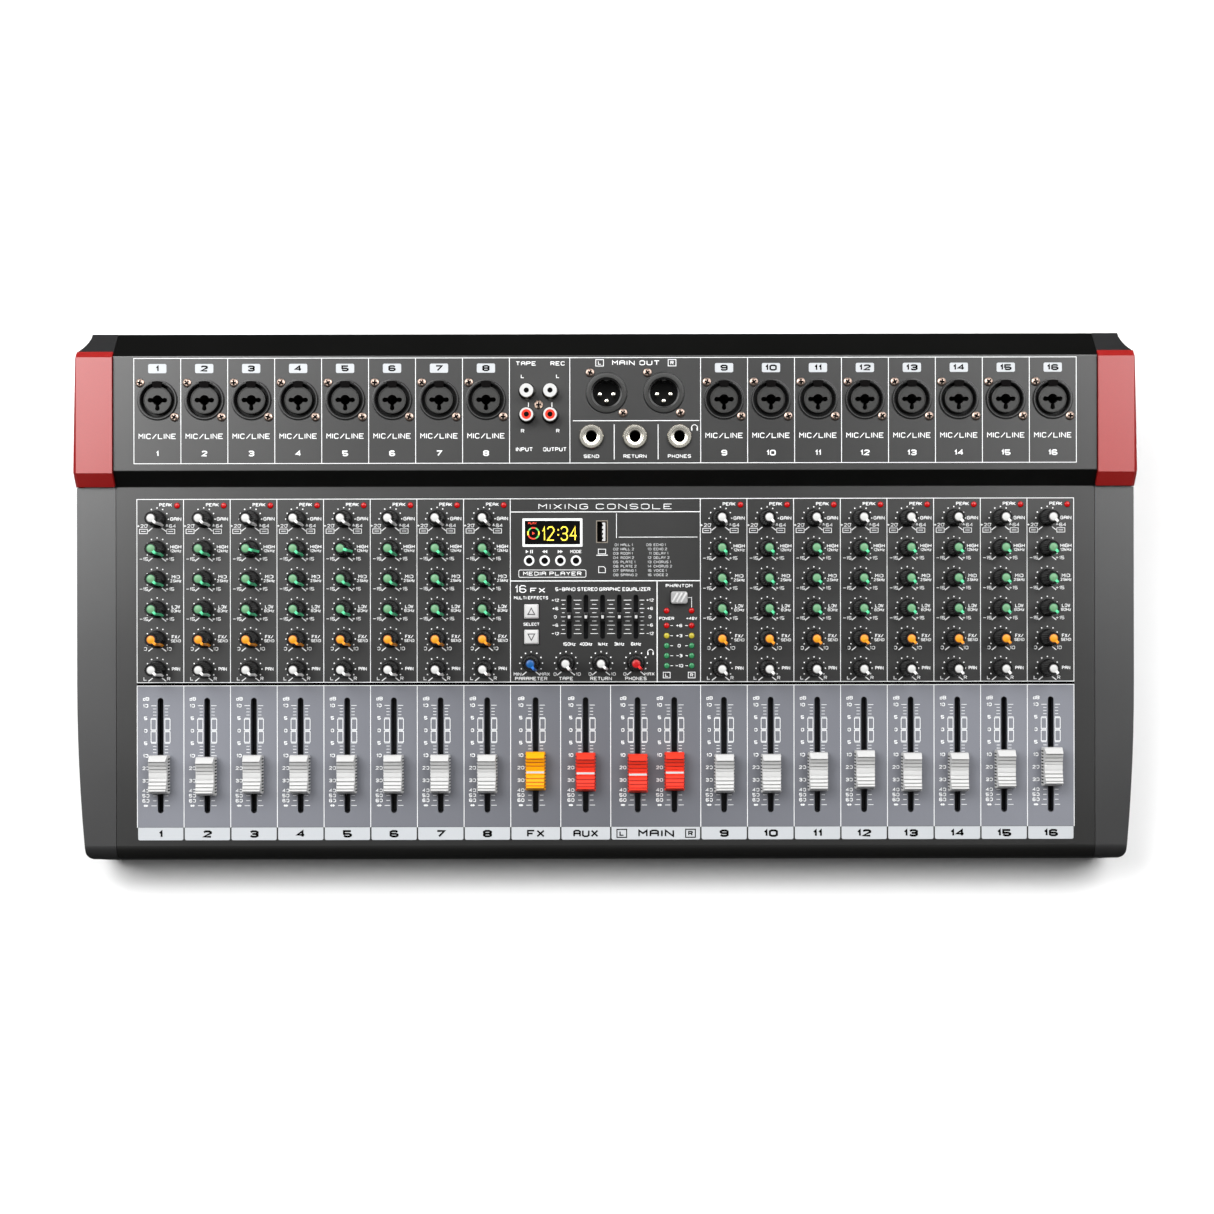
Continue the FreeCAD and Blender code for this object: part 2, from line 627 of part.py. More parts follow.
def strip_holes(body):
    sketch = new_panel_sketch(body)
    for first in ("left_u", "right_u"):
        for i in range(len(KNOB_ROWS)):
            circle(sketch, f"{first} + knob_u", f"knob_v - knob_pitch * {i}", "knob_hole")
        circle(sketch, f"{first} + lamp_u", "lamp_v", "lamp_hole")
        slot(sketch, first, "slot_v", "slot_length", "slot_width")
        circle(sketch, first, "socket_v", "socket_hole")
        for side in (-1, 1):
            circle(sketch, f"{first} + socket_screw_u * {side}", f"socket_v - socket_screw_v * {side}",
                   "screw_hole")
    holes = pocket(body, sketch, "raised_w * 4", "Symmetric")
    repeat(body, holes, "strip_pitch * (strip_count - 1)", "strip_count")


def master_holes(body):
    sketch = new_panel_sketch(body)
    for u, _ in GROUP_FADERS.values():
        slot(sketch, u, "slot_v", "slot_length", "slot_width")
    for u, _ in MASTER_KNOBS.values():
        circle(sketch, u, "master_knob_v", "knob_hole")
    for i in range(len(EQ_BANDS)):
        slot(sketch, f"eq_u + eq_pitch * {i}", "eq_v", "eq_slot_length", "eq_slot_width")
    for u in PLAYER_BUTTONS.values():
        circle(sketch, u, "player_button_v", "player_button_radius + button_play")
    for v in ("select_upper_v", "select_lower_v"):
        rectangle(sketch, "select_u", v, "select_side + button_play * 2", "select_side + button_play * 2")
    rectangle(sketch, "phantom_u", "phantom_v", "phantom_width + button_play * 2",
              "phantom_height + button_play * 2")
    for u, v in lamp_places()[16:]:
        circle(sketch, u, v, "lamp_hole")
    rectangle(sketch, "window_u", "window_v", "window_width + module_play * 2", "window_height + module_play * 2")
    rectangle(sketch, "port_u", "port_v", "port_width + module_play * 4", "port_height + module_play * 4")
    pocket(body, sketch, "raised_w * 4", "Symmetric")


def connector_holes(body):
    sketch = new_panel_sketch(body)
    for u in ("output_left_u", "output_right_u"):
        circle(sketch, u, "output_v", "output_hole")
        for side in (-1, 1):
            circle(sketch, f"{u} + output_screw_u * {side}", f"output_v - output_screw_v * {side}", "screw_hole")
    for u in JACK_U:
        circle(sketch, u, "jack_v", "barrel_hole")
    for u in ("phono_left_u", "phono_right_u"):
        for v in ("phono_upper_v", "phono_lower_v"):
            circle(sketch, u, v, "phono_hole")
    circle(sketch, "(phono_left_u + phono_right_u) / 2", "phono_screw_v", "screw_hole")
    pocket(body, sketch, "raised_w * 4", "Symmetric")


def rear_screw_holes(body):
    """A row of holes through the rear lip or the rear wall behind it."""
    sketch = new_sketch(body, "XZ_Plane")
    bind(sketch, "AttachmentOffset.Base.z", "rear_hole_depth - " + world_y("rear_v", "rear_w"))
    circle(sketch, "-case_screw_x", world_z("rear_v", "rear_w") + " - case_screw_drop", "screw_hole")
    holes = pocket(body, sketch, "rear_hole_depth * 2")
    repeat(body, holes, "case_screw_x * 2", "case_screw_count")


def make_top_panel():
    body = new_body("top_panel")
    corners = case_corners(lip_end=True)
    sketch = new_sketch(body, "YZ_Plane")
    inset_outline(sketch, corners, "gauge")
    pad(body, sketch, "fascia_width", "Symmetric")
    outer = corner_points(corners)
    inner = corner_points(corners, number("gauge"))
    dress(body, "Fillet", "Radius", "front_radius", outer[:1])
    dress(body, "Fillet", "Radius", "front_radius - gauge", inner[:1])
    dress(body, "Fillet", "Radius", "fold_radius", outer[1:])
    strip_holes(body)
    master_holes(body)
    connector_holes(body)
    rear_screw_holes(body)
    keep(body, "top_panel")


def make_base_tray():
    body = new_body("base_tray")
    corners = case_corners(lip_end=False)
    sketch = new_sketch(body, "YZ_Plane")
    inset_outline(sketch, corners, "gauge + seam_gap", floor="foot_height")
    pad(body, sketch, "fascia_width", "Symmetric")
    dress(body, "Fillet", "Radius", "front_radius",
          corner_points(corners, number("gauge + seam_gap"))[:1])
    hollow = new_sketch(body, "YZ_Plane")
    skin = "gauge + seam_gap + tray_gauge"
    front, rear = f"{world_y('front_v', '0')} + {skin}", f"{world_y('rear_v', 'rear_w')} - ({skin})"
    floor, sky = "foot_height + tray_gauge", "panel_z * 2"
    polygon(hollow, [(front, floor), (rear, floor), (rear, sky), (front, sky)])
    pocket(body, hollow, "fascia_width - tray_gauge * 2", "Symmetric")
    rear_screw_holes(body)
    window = new_sketch(body, "XZ_Plane")
    rectangle(window, "inlet_x", "inlet_z", "inlet_width + 0.4", "inlet_height + 0.4")
    pocket(body, window, world_y("rear_v", "rear_w") + " + 5")
    keep(body, "base_tray")


def cheek_plan(body):
    """Takes away what is outside a cheek's plan: the curve to its nose, and its rear corner."""
    beyond = "cheek_outer + 20"
    reach = "(cheek_curve_v - cheek_nose_v)"
    inward = "(cheek_outer - cheek_nose_u)"
    sketch = new_panel_sketch(body)
    nose_u, nose_v = "cheek_nose_u - nose_radius", "cheek_nose_v - nose_radius"
    polygon(sketch,
            [("cheek_outer", "cheek_curve_v"), ("cheek_nose_u", "cheek_nose_v"), (nose_u, nose_v),
             (nose_u, nose_v + " - 30"), (beyond, nose_v + " - 30"), (beyond, "cheek_curve_v")],
            {0: (f"({reach} * {reach} + {inward} * {inward}) / (2 * {inward})", -1),
             1: ("nose_radius", -1)})
    polygon(sketch,
            [("cheek_outer", "raised_v"), (beyond, "raised_v"), (beyond, "rear_v + 30"),
             ("rear_corner_u", "rear_v + 30"), ("rear_corner_u", "rear_corner_v"),
             ("trim_outer_rear", "trim_tail_v")],
            {4: ("rear_corner_radius", 1)})
    pocket(body, sketch, "panel_z * 4", "Symmetric")


def cheek_hollow(body):
    """The hollow that makes a cheek a shell, open to the inside."""
    sketch = new_sketch(body, "YZ_Plane")
    bind(sketch, "AttachmentOffset.Base.z", "cheek_inner")
    front = world_y("front_v", "0") + " + cheek_wall"
    rear = world_y("rear_v", "rear_w") + " - cheek_wall"
    floor = "foot_height + cheek_wall"
    polygon(sketch, [
        (front, floor), (rear, floor), (rear, world_z("rear_v", "rear_w") + " - cheek_wall * 2"),
        (world_y("trim_rear_v", "0"), world_z("trim_rear_v", "0")),
        (world_y("raised_v + cheek_wall", "0"), world_z("raised_v + cheek_wall", "0")),
        (world_y("step_v", "-cheek_wall"), world_z("step_v", "-cheek_wall")),
        (world_y("front_v + cheek_wall * 3", "-cheek_wall"), world_z("front_v + cheek_wall * 3", "-cheek_wall")),
        (front, world_z("front_v", "0") + " - cheek_wall * 3"),
    ])
    pocket(body, sketch, "cheek_hollow", reverse=True)


def make_cheeks():
    body = new_body("cheek")
    sketch = new_sketch(body, "YZ_Plane")
    bind(sketch, "AttachmentOffset.Base.z", "cheek_inner")
    slope = [("front_v", "0"), ("step_v + 0.5", "0"), ("raised_v - 0.4", "ledge_w"),
             ("trim_rear_v - 1.1", "ledge_w"), ("trim_tail_v - 1.6", "ledge_w - 3"),
             ("trim_tail_v - 0.35", "ledge_w - 1.7"), ("rear_v", "rear_w")]
    corners = [(world_y(v, w), world_z(v, w)) for v, w in slope]
    front, rear = (corners[0][0], "foot_height"), (corners[-1][0], "foot_height")
    polygon(sketch, [rear] + corners[::-1] + [front])
    pad(body, sketch, "cheek_outer - cheek_inner")
    nose = Vector(number("cheek_inner + 10"), number(corners[0][0]), number(corners[0][1]))
    dress(body, "Fillet", "Radius", "front_radius", [nose])
    cheek_plan(body)
    cheek_hollow(body)
    recess = new_sketch(body, "YZ_Plane")
    bind(recess, "AttachmentOffset.Base.z", "cheek_outer + 1")
    side = [("trim_foot_v - 0.3", "trim_skirt_w - 0.3"), ("trim_tail_v + 0.3", "trim_skirt_w - 0.3"),
            ("trim_tail_v + 0.3", "trim_w * 3"), ("trim_foot_v - 0.3", "trim_w * 3")]
    polygon(recess, [(world_y(v, w), world_z(v, w)) for v, w in side])
    pocket(body, recess, "trim_gauge + 2.8")
    screws = new_raised_sketch(body, "foot_height")
    for y in ("-cheek_screw_y", "0", "cheek_screw_y"):
        circle(screws, "cheek_screw_x", y, "screw_hole")
    pocket(body, screws, "cheek_wall * 2", reverse=True)
    keep(body, "right_cheek")
    left = doc.addObject("Part::Mirroring", "left_cheek")
    left.Source = body
    left.Normal = (1, 0, 0)
    keep(left, "left_cheek")


def make_trims():
    body = new_body("trim")
    slope = [("trim_foot_v", "trim_foot_w"), ("trim_front_v", "trim_w"), ("trim_rear_v", "trim_w"),
             ("trim_tail_v", "trim_tail_w")]
    corners = [(world_y(v, w), world_z(v, w)) for v, w in slope]
    cap = new_sketch(body, "YZ_Plane")
    bind(cap, "AttachmentOffset.Base.z", "cheek_inner")
    inset_outline(cap, corners, "trim_gauge")
    pad(body, cap, "trim_outer - cheek_inner")
    skirt = new_sketch(body, "YZ_Plane")
    bind(skirt, "AttachmentOffset.Base.z", "trim_outer")
    foot = [(world_y(v, "trim_skirt_w"), world_z(v, "trim_skirt_w")) for v in ("trim_foot_v", "trim_tail_v")]
    polygon(skirt, [foot[0], foot[1]] + corners[::-1])
    pad(body, skirt, "trim_gauge + 1.3", reverse=True)
    edges = [Vector(number("trim_outer"), (number(a[0]) + number(b[0])) / 2, (number(a[1]) + number(b[1])) / 2)
             for a, b in zip(corners, corners[1:])]
    dress(body, "Chamfer", "Size", "trim_edge", edges)
    taper = new_panel_sketch(body)
    polygon(taper, [("trim_outer", "trim_front_v"), ("trim_outer + 10", "trim_front_v"),
                    ("trim_outer + 10", "trim_tail_v + 5"), ("trim_outer_rear", "trim_tail_v + 5")])
    pocket(body, taper, "panel_z * 4", "Symmetric")
    other = doc.addObject("Part::Mirroring", "trim_mirror")
    other.Source = body
    other.Normal = (1, 0, 0)
    join("accent_trims", [body, other])


def make_feet():
    unit = new_body("foot")
    profile = new_sketch(unit, "XZ_Plane")
    polygon(profile, [("0", "0"), ("foot_radius - 1", "0"), ("foot_radius", "1"),
                      ("foot_radius - 0.6", "foot_height"), ("0", "foot_height")])
    revolve(unit, profile)
    x, y = number("foot_x"), number("foot_y")
    group("rubber_feet", [(unit, Placement(Vector(i * x, j * y, 0), Rotation())) for i in (-1, 1) for j in (-1, 1)])


# ---------------------------------------------------------------- knobs, faders and buttons

def make_knob_unit():
    knob = new_body("knob_unit")
    profile = new_sketch(knob, "XZ_Plane")
    polygon(profile, [
        ("shaft_radius", "knob_bottom"), ("skirt_radius", "knob_bottom"), ("skirt_radius", "skirt_top"),
        ("grip_radius", "grip_bottom"), ("crown_radius", "knob_top - crown_edge"),
        ("crown_radius - crown_edge", "knob_top"), ("0", "knob_top"), ("0", "shaft_top"),
        ("shaft_radius", "shaft_top")])
    revolve(knob, profile)
    rib = new_sketch(knob, "YZ_Plane")
    polygon(rib, [("shaft_radius + 0.2", "skirt_top"), ("pointer_radius", "skirt_top"),
                  ("crown_radius + 0.2", "knob_top"), ("shaft_radius - 1", "knob_top"),
                  ("shaft_radius - 1", "shaft_top + 1"), ("shaft_radius + 0.2", "shaft_top + 1")])
    pad(knob, rib, "pointer_width", "Symmetric")
    shaft = disc("shaft_unit", "0", "0", "shaft_radius", "shaft_bottom", "shaft_top")
    return [knob, shaft]


def make_knobs(units):
    places = strip_places()
    fixed = []
    for i, row in enumerate(KNOB_ROWS):
        for channel, u in enumerate(places):
            place = on_panel(u + number("knob_u"), knob_row(i), turn=-KNOB_TURN)
            if channel == 0:
                join(f"channel_01_{row}_knob", units, place)
            else:
                fixed += [(unit, place) for unit in units]
    group("channel_knobs", fixed)
    for label, (u, turn) in MASTER_KNOBS.items():
        join(label, units, on_panel(u, number("master_knob_v"), turn=-turn))


def make_fader_unit():
    cap = new_body("fader_cap_unit")
    side = new_sketch(cap, "YZ_Plane")
    foot = "cap_length / 2"
    span = "((cap_front_crest + cap_rear_crest) / 2)"
    polygon(side,
            [(f"-{foot}", "cap_bottom"), (foot, "cap_bottom"), (foot + " - 0.1", "cap_shoulder"),
             ("cap_rear_crest", "cap_top"), ("-cap_front_crest", "cap_top")],
            {3: (f"({span} * {span} + cap_dip * cap_dip) / (2 * cap_dip)", -1)})
    pad(cap, side, "cap_width", "Symmetric")
    mouth = new_raised_sketch(cap, "cap_bottom")
    rectangle(mouth, "0", "0", "lever_width", "lever_length")
    pocket(cap, mouth, "lever_top - cap_bottom", reverse=True)
    lever = block("fader_lever_unit", "0", "0", "lever_top", "lever_width", "lever_length",
                  "lever_top - lever_bottom")
    return [cap, lever]


def make_faders(units):
    for channel, (u, v) in enumerate(zip(strip_places(), CHANNEL_FADER_V), start=1):
        join(f"channel_{channel:02d}_fader", units, on_panel(u, v))
    for label, (u, v) in GROUP_FADERS.items():
        join(label, units, on_panel(u, v))


def make_eq_sliders():
    lever = block("eq_lever_unit", "0", "0", "eq_lever_top", "eq_lever_width", "eq_lever_length",
                  "eq_lever_top - lever_bottom")
    for i, band in enumerate(EQ_BANDS):
        join(f"eq_{band}_slider", [lever], on_panel(number(f"eq_u + eq_pitch * {i}"), number("eq_v")))


def make_buttons():
    cap = disc("player_button_unit", "0", "0", "player_button_radius", "button_bottom", "player_button_top")
    for label, u in PLAYER_BUTTONS.items():
        join(label, [cap], on_panel(u, number("player_button_v")))
    select = block("select_button_unit", "0", "0", "select_top", "select_side", "select_side",
                   "select_top - button_bottom")
    join("effect_up_button", [select], on_panel(number("select_u"), number("select_upper_v")))
    join("effect_down_button", [select], on_panel(number("select_u"), number("select_lower_v")))
    phantom = block("phantom_button_unit", "0", "0", "phantom_top", "phantom_width", "phantom_height",
                    "phantom_top - button_bottom")
    join("phantom_button", [phantom], on_panel(number("phantom_u"), number("phantom_v")))


# ---------------------------------------------------------------- what the panel holds from behind

def grooved(body, top, width, groove_length, floor):
    """Cuts the groove in which a slide potentiometer's lever runs."""
    groove = new_raised_sketch(body, top)
    rectangle(groove, "0", "0", width, groove_length)
    pocket(body, groove, f"{top} - ({floor})")


def make_potentiometers():
    depth = "device_top - board_top"
    rotary = block("rotary_unit", "0", "0", "device_top", "pot_side", "pot_side", depth)
    bore = new_raised_sketch(rotary, "device_top")
    circle(bore, "0", "0", "shaft_radius + shaft_play")
    pocket(rotary, bore, "device_top - shaft_bottom + 0.4")
    long_slide = block("long_slide_unit", "0", "0", "device_top", "slider_width", "slider_length", depth)
    grooved(long_slide, "device_top", "slider_groove", "slider_travel + lever_length + 3", "lever_bottom - 0.5")
    short_slide = block("short_slide_unit", "0", "0", "device_top", "eq_slider_width", "eq_slider_length", depth)
    grooved(short_slide, "device_top", "eq_lever_width + 0.8", "eq_travel + eq_lever_length + 1.2",
            "lever_bottom - 0.5")
    small_switch = block("small_switch_unit", "0", "0", "switch_top", "switch_side", "switch_side",
                         "switch_top - board_top")
    wide_switch = block("wide_switch_unit", "0", "0", "wide_switch_top", "wide_switch_side", "wide_switch_side",
                        "wide_switch_top - board_top")
    members = []
    for u in strip_places():
        members += [(rotary, on_panel(u + number("knob_u"), knob_row(i))) for i in range(len(KNOB_ROWS))]
        members.append((long_slide, on_panel(u, number("slot_v"))))
    members += [(rotary, on_panel(u, number("master_knob_v"))) for u, _ in MASTER_KNOBS.values()]
    members += [(long_slide, on_panel(u, number("slot_v"))) for u, _ in GROUP_FADERS.values()]
    members += [(short_slide, on_panel(number(f"eq_u + eq_pitch * {i}"), number("eq_v")))
                for i in range(len(EQ_BANDS))]
    members += [(small_switch, on_panel(u, number("player_button_v"))) for u in PLAYER_BUTTONS.values()]
    members += [(wide_switch, on_panel(number("select_u"), number(v))) for v in ("select_upper_v", "select_lower_v")]
    members.append((wide_switch, on_panel(number("phantom_u"), number("phantom_v"))))
    group("potentiometers", members)


def make_circuit_boards():
    main = block("main_board", "0", "(board_front_v + board_rear_v) / 2", "board_top", "board_width",
                 "board_rear_v - board_front_v", "board_gauge")
    inputs = block("input_board", "0", "(inputs_front_v + inputs_rear_v) / 2", "connector_bottom", "board_width",
                   "inputs_rear_v - inputs_front_v", "board_gauge")
    standoff = disc("standoff_unit", "0", "0", "standoff_radius", "board_top", "-gauge")
    transformer = disc("transformer", "transformer_x", "transformer_y", "transformer_radius",
                       "foot_height + tray_gauge", "foot_height + tray_gauge + transformer_height")
    core = new_raised_sketch(transformer, "foot_height + tray_gauge")
    circle(core, "transformer_x", "transformer_y", "transformer_core")
    pocket(transformer, core, "transformer_height", reverse=True)
    floor = "foot_height + tray_gauge"
    supply = block("supply_board", "supply_x", "transformer_y", f"{floor} + supply_lift",
                   "supply_width", "supply_length", "board_gauge")
    pillar = disc("supply_pillar", "supply_x", "transformer_y", "standoff_radius", floor,
                  f"{floor} + supply_lift - board_gauge")
    reach_x, reach_y = number("supply_width / 2 - 6"), number("supply_length / 2 - 6")
    members = [(main, on_panel(0, 0)), (inputs, on_panel(0, 0)), (transformer, Placement()), (supply, Placement())]
    members += [(standoff, on_panel(u, v)) for u in STANDOFF_U for v in STANDOFF_V]
    members += [(pillar, Placement(Vector(i * reach_x, j * reach_y, 0), Rotation())) for i in (-1, 1)
                for j in (-1, 1)]
    group("circuit_boards", members)


def lamp_places():
    places = [(u + number("lamp_u"), number("lamp_v")) for u in strip_places()]
    columns = (number("meter_left_u"), number("meter_right_u"))
    return places + STATUS_LAMPS + [(u, v) for u in columns for v in METER_V]


def make_lamps():
    unit = new_body("lamp_unit")
    profile = new_sketch(unit, "XZ_Plane")
    polygon(profile, [("0", "board_top"), ("lamp_radius", "board_top"), ("lamp_radius", "lamp_top - 0.6"),
                      ("lamp_radius - 0.5", "lamp_top - 0.1"), ("0", "lamp_top")])
    revolve(unit, profile)
    group("indicator_lamps", [(unit, on_panel(u, v)) for u, v in lamp_places()])


def make_player():
    depth = "module_top - board_top"
    window = block("window", "window_u", "window_v", "module_top", "window_width", "window_height", depth)
    shell = block("port_shell", "port_u", "port_v", "module_top", "port_width", "port_height", depth)
    mouth = new_raised_sketch(shell, "module_top")
    rectangle(mouth, "port_u", "port_v", "port_width - port_gauge * 2", "port_height - port_gauge * 2")
    pocket(shell, mouth, depth + " - 1")
    tongue = block("port_tongue", "port_u + tongue_u", "port_v", "tongue_top", "tongue_gauge", "tongue_width",
                   "tongue_top - board_top - 1")
    join("player_module", [window, shell, tongue], on_panel(0, 0))


def plate(body, lift, width, height, gauge):
    sketch = new_raised_sketch(body, lift)
    rectangle(sketch, "0", "0", width, height)
    pad(body, sketch, gauge, reverse=True)


def flange_holes(body, u, v):
    sketch = new_raised_sketch(body, "raised_w - gauge")
    for side in (-1, 1):
        circle(sketch, f"{u} * {side}", f"-{v} * {side}", "screw_hole")
    pocket(body, sketch, "flange_gauge + 6")


def make_channel_sockets():
    unit = new_body("socket_unit")
    profile = new_sketch(unit, "XZ_Plane")
    top = "raised_w + socket_lip"
    polygon(profile, [
        ("jack_radius", "raised_w - lobe_depth"), ("insert_radius", "raised_w - lobe_depth"),
        ("insert_radius", "0"), ("groove_radius", "0"), ("groove_radius", top + " - 0.8"),
        ("groove_radius + 0.5", top), ("socket_ring", top), ("socket_ring", "raised_w - gauge"),
        ("socket_ring", "connector_bottom"), ("0", "connector_bottom"), ("0", "jack_bottom"),
        ("jack_radius", "jack_bottom")])
    revolve(unit, profile)
    face = new_raised_sketch(unit, "raised_w - lobe_depth")
    circle(face, "0", "0", "insert_radius")
    pad(unit, face, "lobe_depth")
    lobes = new_raised_sketch(unit, "raised_w")
    circle(lobes, "0", "0", "jack_radius + 1.2")
    pocket(unit, lobes, "lobe_depth")
    key = new_raised_sketch(unit, "raised_w")
    for x, y in (("-lobe_reach", "0"), ("lobe_reach", "0"), ("0", "-lobe_reach")):
        circle(key, x, y, "lobe_radius")
    pocket(unit, key, "lobe_depth")
    plate(unit, "raised_w - gauge", "flange_width", "flange_height", "flange_gauge")
    clear_bore(unit)
    flange_holes(unit, "socket_screw_u", "socket_screw_v")
    group("channel_sockets", [(unit, on_panel(u, number("socket_v"))) for u in strip_places()])


def clear_bore(body):
    """Opens the jack's bore and the ring's groove again where the flange closed them."""
    sketch = new_raised_sketch(body, "raised_w - gauge")
    circle(sketch, "0", "0", "jack_radius")
    circle(sketch, "0", "0", "insert_radius")
    circle(sketch, "0", "0", "groove_radius")
    pocket(body, sketch, "flange_gauge")


def make_main_outputs():
    unit = new_body("output_unit")
    profile = new_sketch(unit, "XZ_Plane")
    top = "raised_w + socket_lip"
    polygon(profile, [
        ("0", "output_floor"), ("output_cavity", "output_floor"), ("output_cavity", top + " - 0.6"),
        ("output_cavity + 0.6", top), ("output_ring", top), ("output_ring", "connector_bottom"),
        ("0", "connector_bottom")])
    revolve(unit, profile)
    skirt = new_raised_sketch(unit, "raised_w - gauge")
    rectangle(skirt, "0", "0", "flange_width", "flange_height")
    circle(skirt, "0", "0", "output_cavity")
    pad(unit, skirt, "flange_gauge", reverse=True)
    flange_holes(unit, "output_screw_u", "output_screw_v")
    pin = disc("output_pin_unit", "0", "0", "pin_radius", "output_floor", "pin_top")
    members = []
    for u in ("output_left_u", "output_right_u"):
        centre = (number(u), number("output_v"))
        members.append((unit, on_panel(*centre)))
        members += [(pin, on_panel(centre[0] + x, centre[1] + y)) for x, y in ((-4, -0.6), (4, -0.6), (0, -4.6))]
    group("main_outputs", members)


def make_phone_jacks():
    unit = block("jack_unit", "0", "0", "raised_w - gauge", "jack_side", "jack_side",
                 "raised_w - gauge - connector_bottom")
    barrel = new_raised_sketch(unit, "raised_w - gauge")
    circle(barrel, "0", "0", "barrel_radius")
    pad(unit, barrel, "gauge")
    nut = new_raised_sketch(unit, "raised_w")
    circle(nut, "0", "0", "nut_radius")
    pad(unit, nut, "nut_top - raised_w")
    bore = new_raised_sketch(unit, "nut_top")
    circle(bore, "0", "0", "jack_radius")
    pocket(unit, bore, "nut_top - jack_bottom")
    group("phone_jacks", [(unit, on_panel(u, number("jack_v"))) for u in JACK_U])


def make_phono_sockets():
    unit = new_body("phono_unit")
    profile = new_sketch(unit, "XZ_Plane")
    polygon(profile, [
        ("phono_bore", "phono_top - 1"), ("phono_bore + 1.2", "phono_top - 1"), ("phono_bore + 1.6", "phono_top"),
        ("phono_radius - 0.4", "phono_top"), ("phono_radius", "phono_top - 0.4"),
        ("phono_radius", "raised_w"), ("phono_stem", "raised_w"), ("phono_stem", "connector_bottom"),
        ("0", "connector_bottom"), ("0", "raised_w"), ("phono_bore", "raised_w")])
    revolve(unit, profile)
    housing = block("phono_housing", "(phono_left_u + phono_right_u) / 2", "phono_screw_v", "raised_w - gauge",
                    "phono_block_width", "phono_block_height", "phono_block_gauge")
    holes = new_raised_sketch(housing, "raised_w - gauge")
    for u in ("phono_left_u", "phono_right_u"):
        for v in ("phono_upper_v", "phono_lower_v"):
            circle(holes, u, v, "phono_stem")
    circle(holes, "(phono_left_u + phono_right_u) / 2", "phono_screw_v", "screw_hole")
    pocket(housing, holes, "phono_block_gauge")
    places = [(number(u), number(v)) for u in ("phono_left_u", "phono_right_u")
              for v in ("phono_upper_v", "phono_lower_v")]
    group("phono_sockets", [(unit, on_panel(u, v)) for u, v in places] + [(housing, on_panel(0, 0))])


def make_screws():
    unit = new_body("screw_unit")
    profile = new_sketch(unit, "XZ_Plane")
    polygon(profile, [
        ("0", "-screw_length"), ("screw_radius", "-screw_length"), ("screw_radius", "0"), ("screw_head", "0"),
        ("screw_head", "screw_head_height / 3"), ("screw_head - 0.8", "screw_head_height"),
        ("0", "screw_head_height")])
    revolve(unit, profile)
    lift = number("raised_w")
    spots = []
    for u in strip_places():
        spots += [(u + number("socket_screw_u") * s, number("socket_v") - number("socket_screw_v") * s) for s in (-1, 1)]
    for u in ("output_left_u", "output_right_u"):
        spots += [(number(u) + number("output_screw_u") * s, number("output_v") - number("output_screw_v") * s)
                  for s in (-1, 1)]
    spots.append((number("(phono_left_u + phono_right_u) / 2"), number("phono_screw_v")))
    members = [(unit, on_panel(u, v, lift)) for u, v in spots]
    wide = number("case_screw_x")
    count = int(number("case_screw_count"))
    rear = Vector(0, number(world_y("rear_v", "rear_w")), number(world_z("rear_v", "rear_w") + " - case_screw_drop"))
    outward = Rotation(Vector(1, 0, 0), -90)
    members += [(unit, Placement(rear + Vector(wide * (2 * i / (count - 1) - 1), 0, 0), outward))
                for i in range(count)]
    downward = Rotation(Vector(1, 0, 0), 180)
    side, reach, floor = number("cheek_screw_x"), number("cheek_screw_y"), number("foot_height")
    members += [(unit, Placement(Vector(i * side, j * reach, floor), downward)) for i in (-1, 1) for j in (-1, 0, 1)]
    group("screws", members)


# ---------------------------------------------------------------- mains inlet and its switch

def inlet_face():
    """Where the inlet module's flange faces the world."""
    return world_y("rear_v", "rear_w") + " - gauge - seam_gap + inlet_flange"


def rear_block(body, x, z, width, height, front, depth):
    """Pads a rectangle that stands on the plane Y = front and reaches depth into the case."""
    sketch = new_sketch(body, "XZ_Plane")
    bind(sketch, "AttachmentOffset.Base.z", f"-({front})")
    rectangle(sketch, x, z, width, height)
    return pad(body, sketch, depth)


def rear_cut(body, x, z, width, height, front, depth):
    sketch = new_sketch(body, "XZ_Plane")
    bind(sketch, "AttachmentOffset.Base.z", f"-({front})")
    rectangle(sketch, x, z, width, height)
    pocket(body, sketch, depth, reverse=True)


def make_inlet():
    face = inlet_face()
    body = new_body("power_inlet")
    rear_block(body, "inlet_x", "inlet_z", "inlet_width + inlet_flange * 2", "inlet_height + inlet_flange * 2",
               face, "inlet_flange")
    rear_block(body, "inlet_x", "inlet_z", "inlet_width", "inlet_height", f"{face} - inlet_flange", "inlet_depth")
    rear_cut(body, "inlet_x + cavity_x", "inlet_z", "cavity_width", "cavity_height", face, "cavity_depth")
    for i in (-1, 0, 1):
        lift = "blade_offset" if i == 0 else "-blade_offset"
        rear_block(body, f"inlet_x + cavity_x + blade_pitch * {i}", f"inlet_z + {lift}", "blade_width",
                   "blade_height", f"{face} - blade_recess", "cavity_depth - blade_recess + 1")
    clear = "rocker_play * 2"
    rear_cut(body, "inlet_x + rocker_x", "inlet_z", f"rocker_width + {clear}",
             f"rocker_half * 2 + 1.2 + {clear}", face, "pivot_depth + rocker_back + 4")
    pins = new_sketch(body, "YZ_Plane")
    bind(pins, "AttachmentOffset.Base.z", "inlet_x + rocker_x")
    circle(pins, f"{face} - pivot_depth", "inlet_z", "pivot_radius + shaft_play")
    pocket(body, pins, "pivot_length + 1", "Symmetric")
    keep(body, "power_inlet")


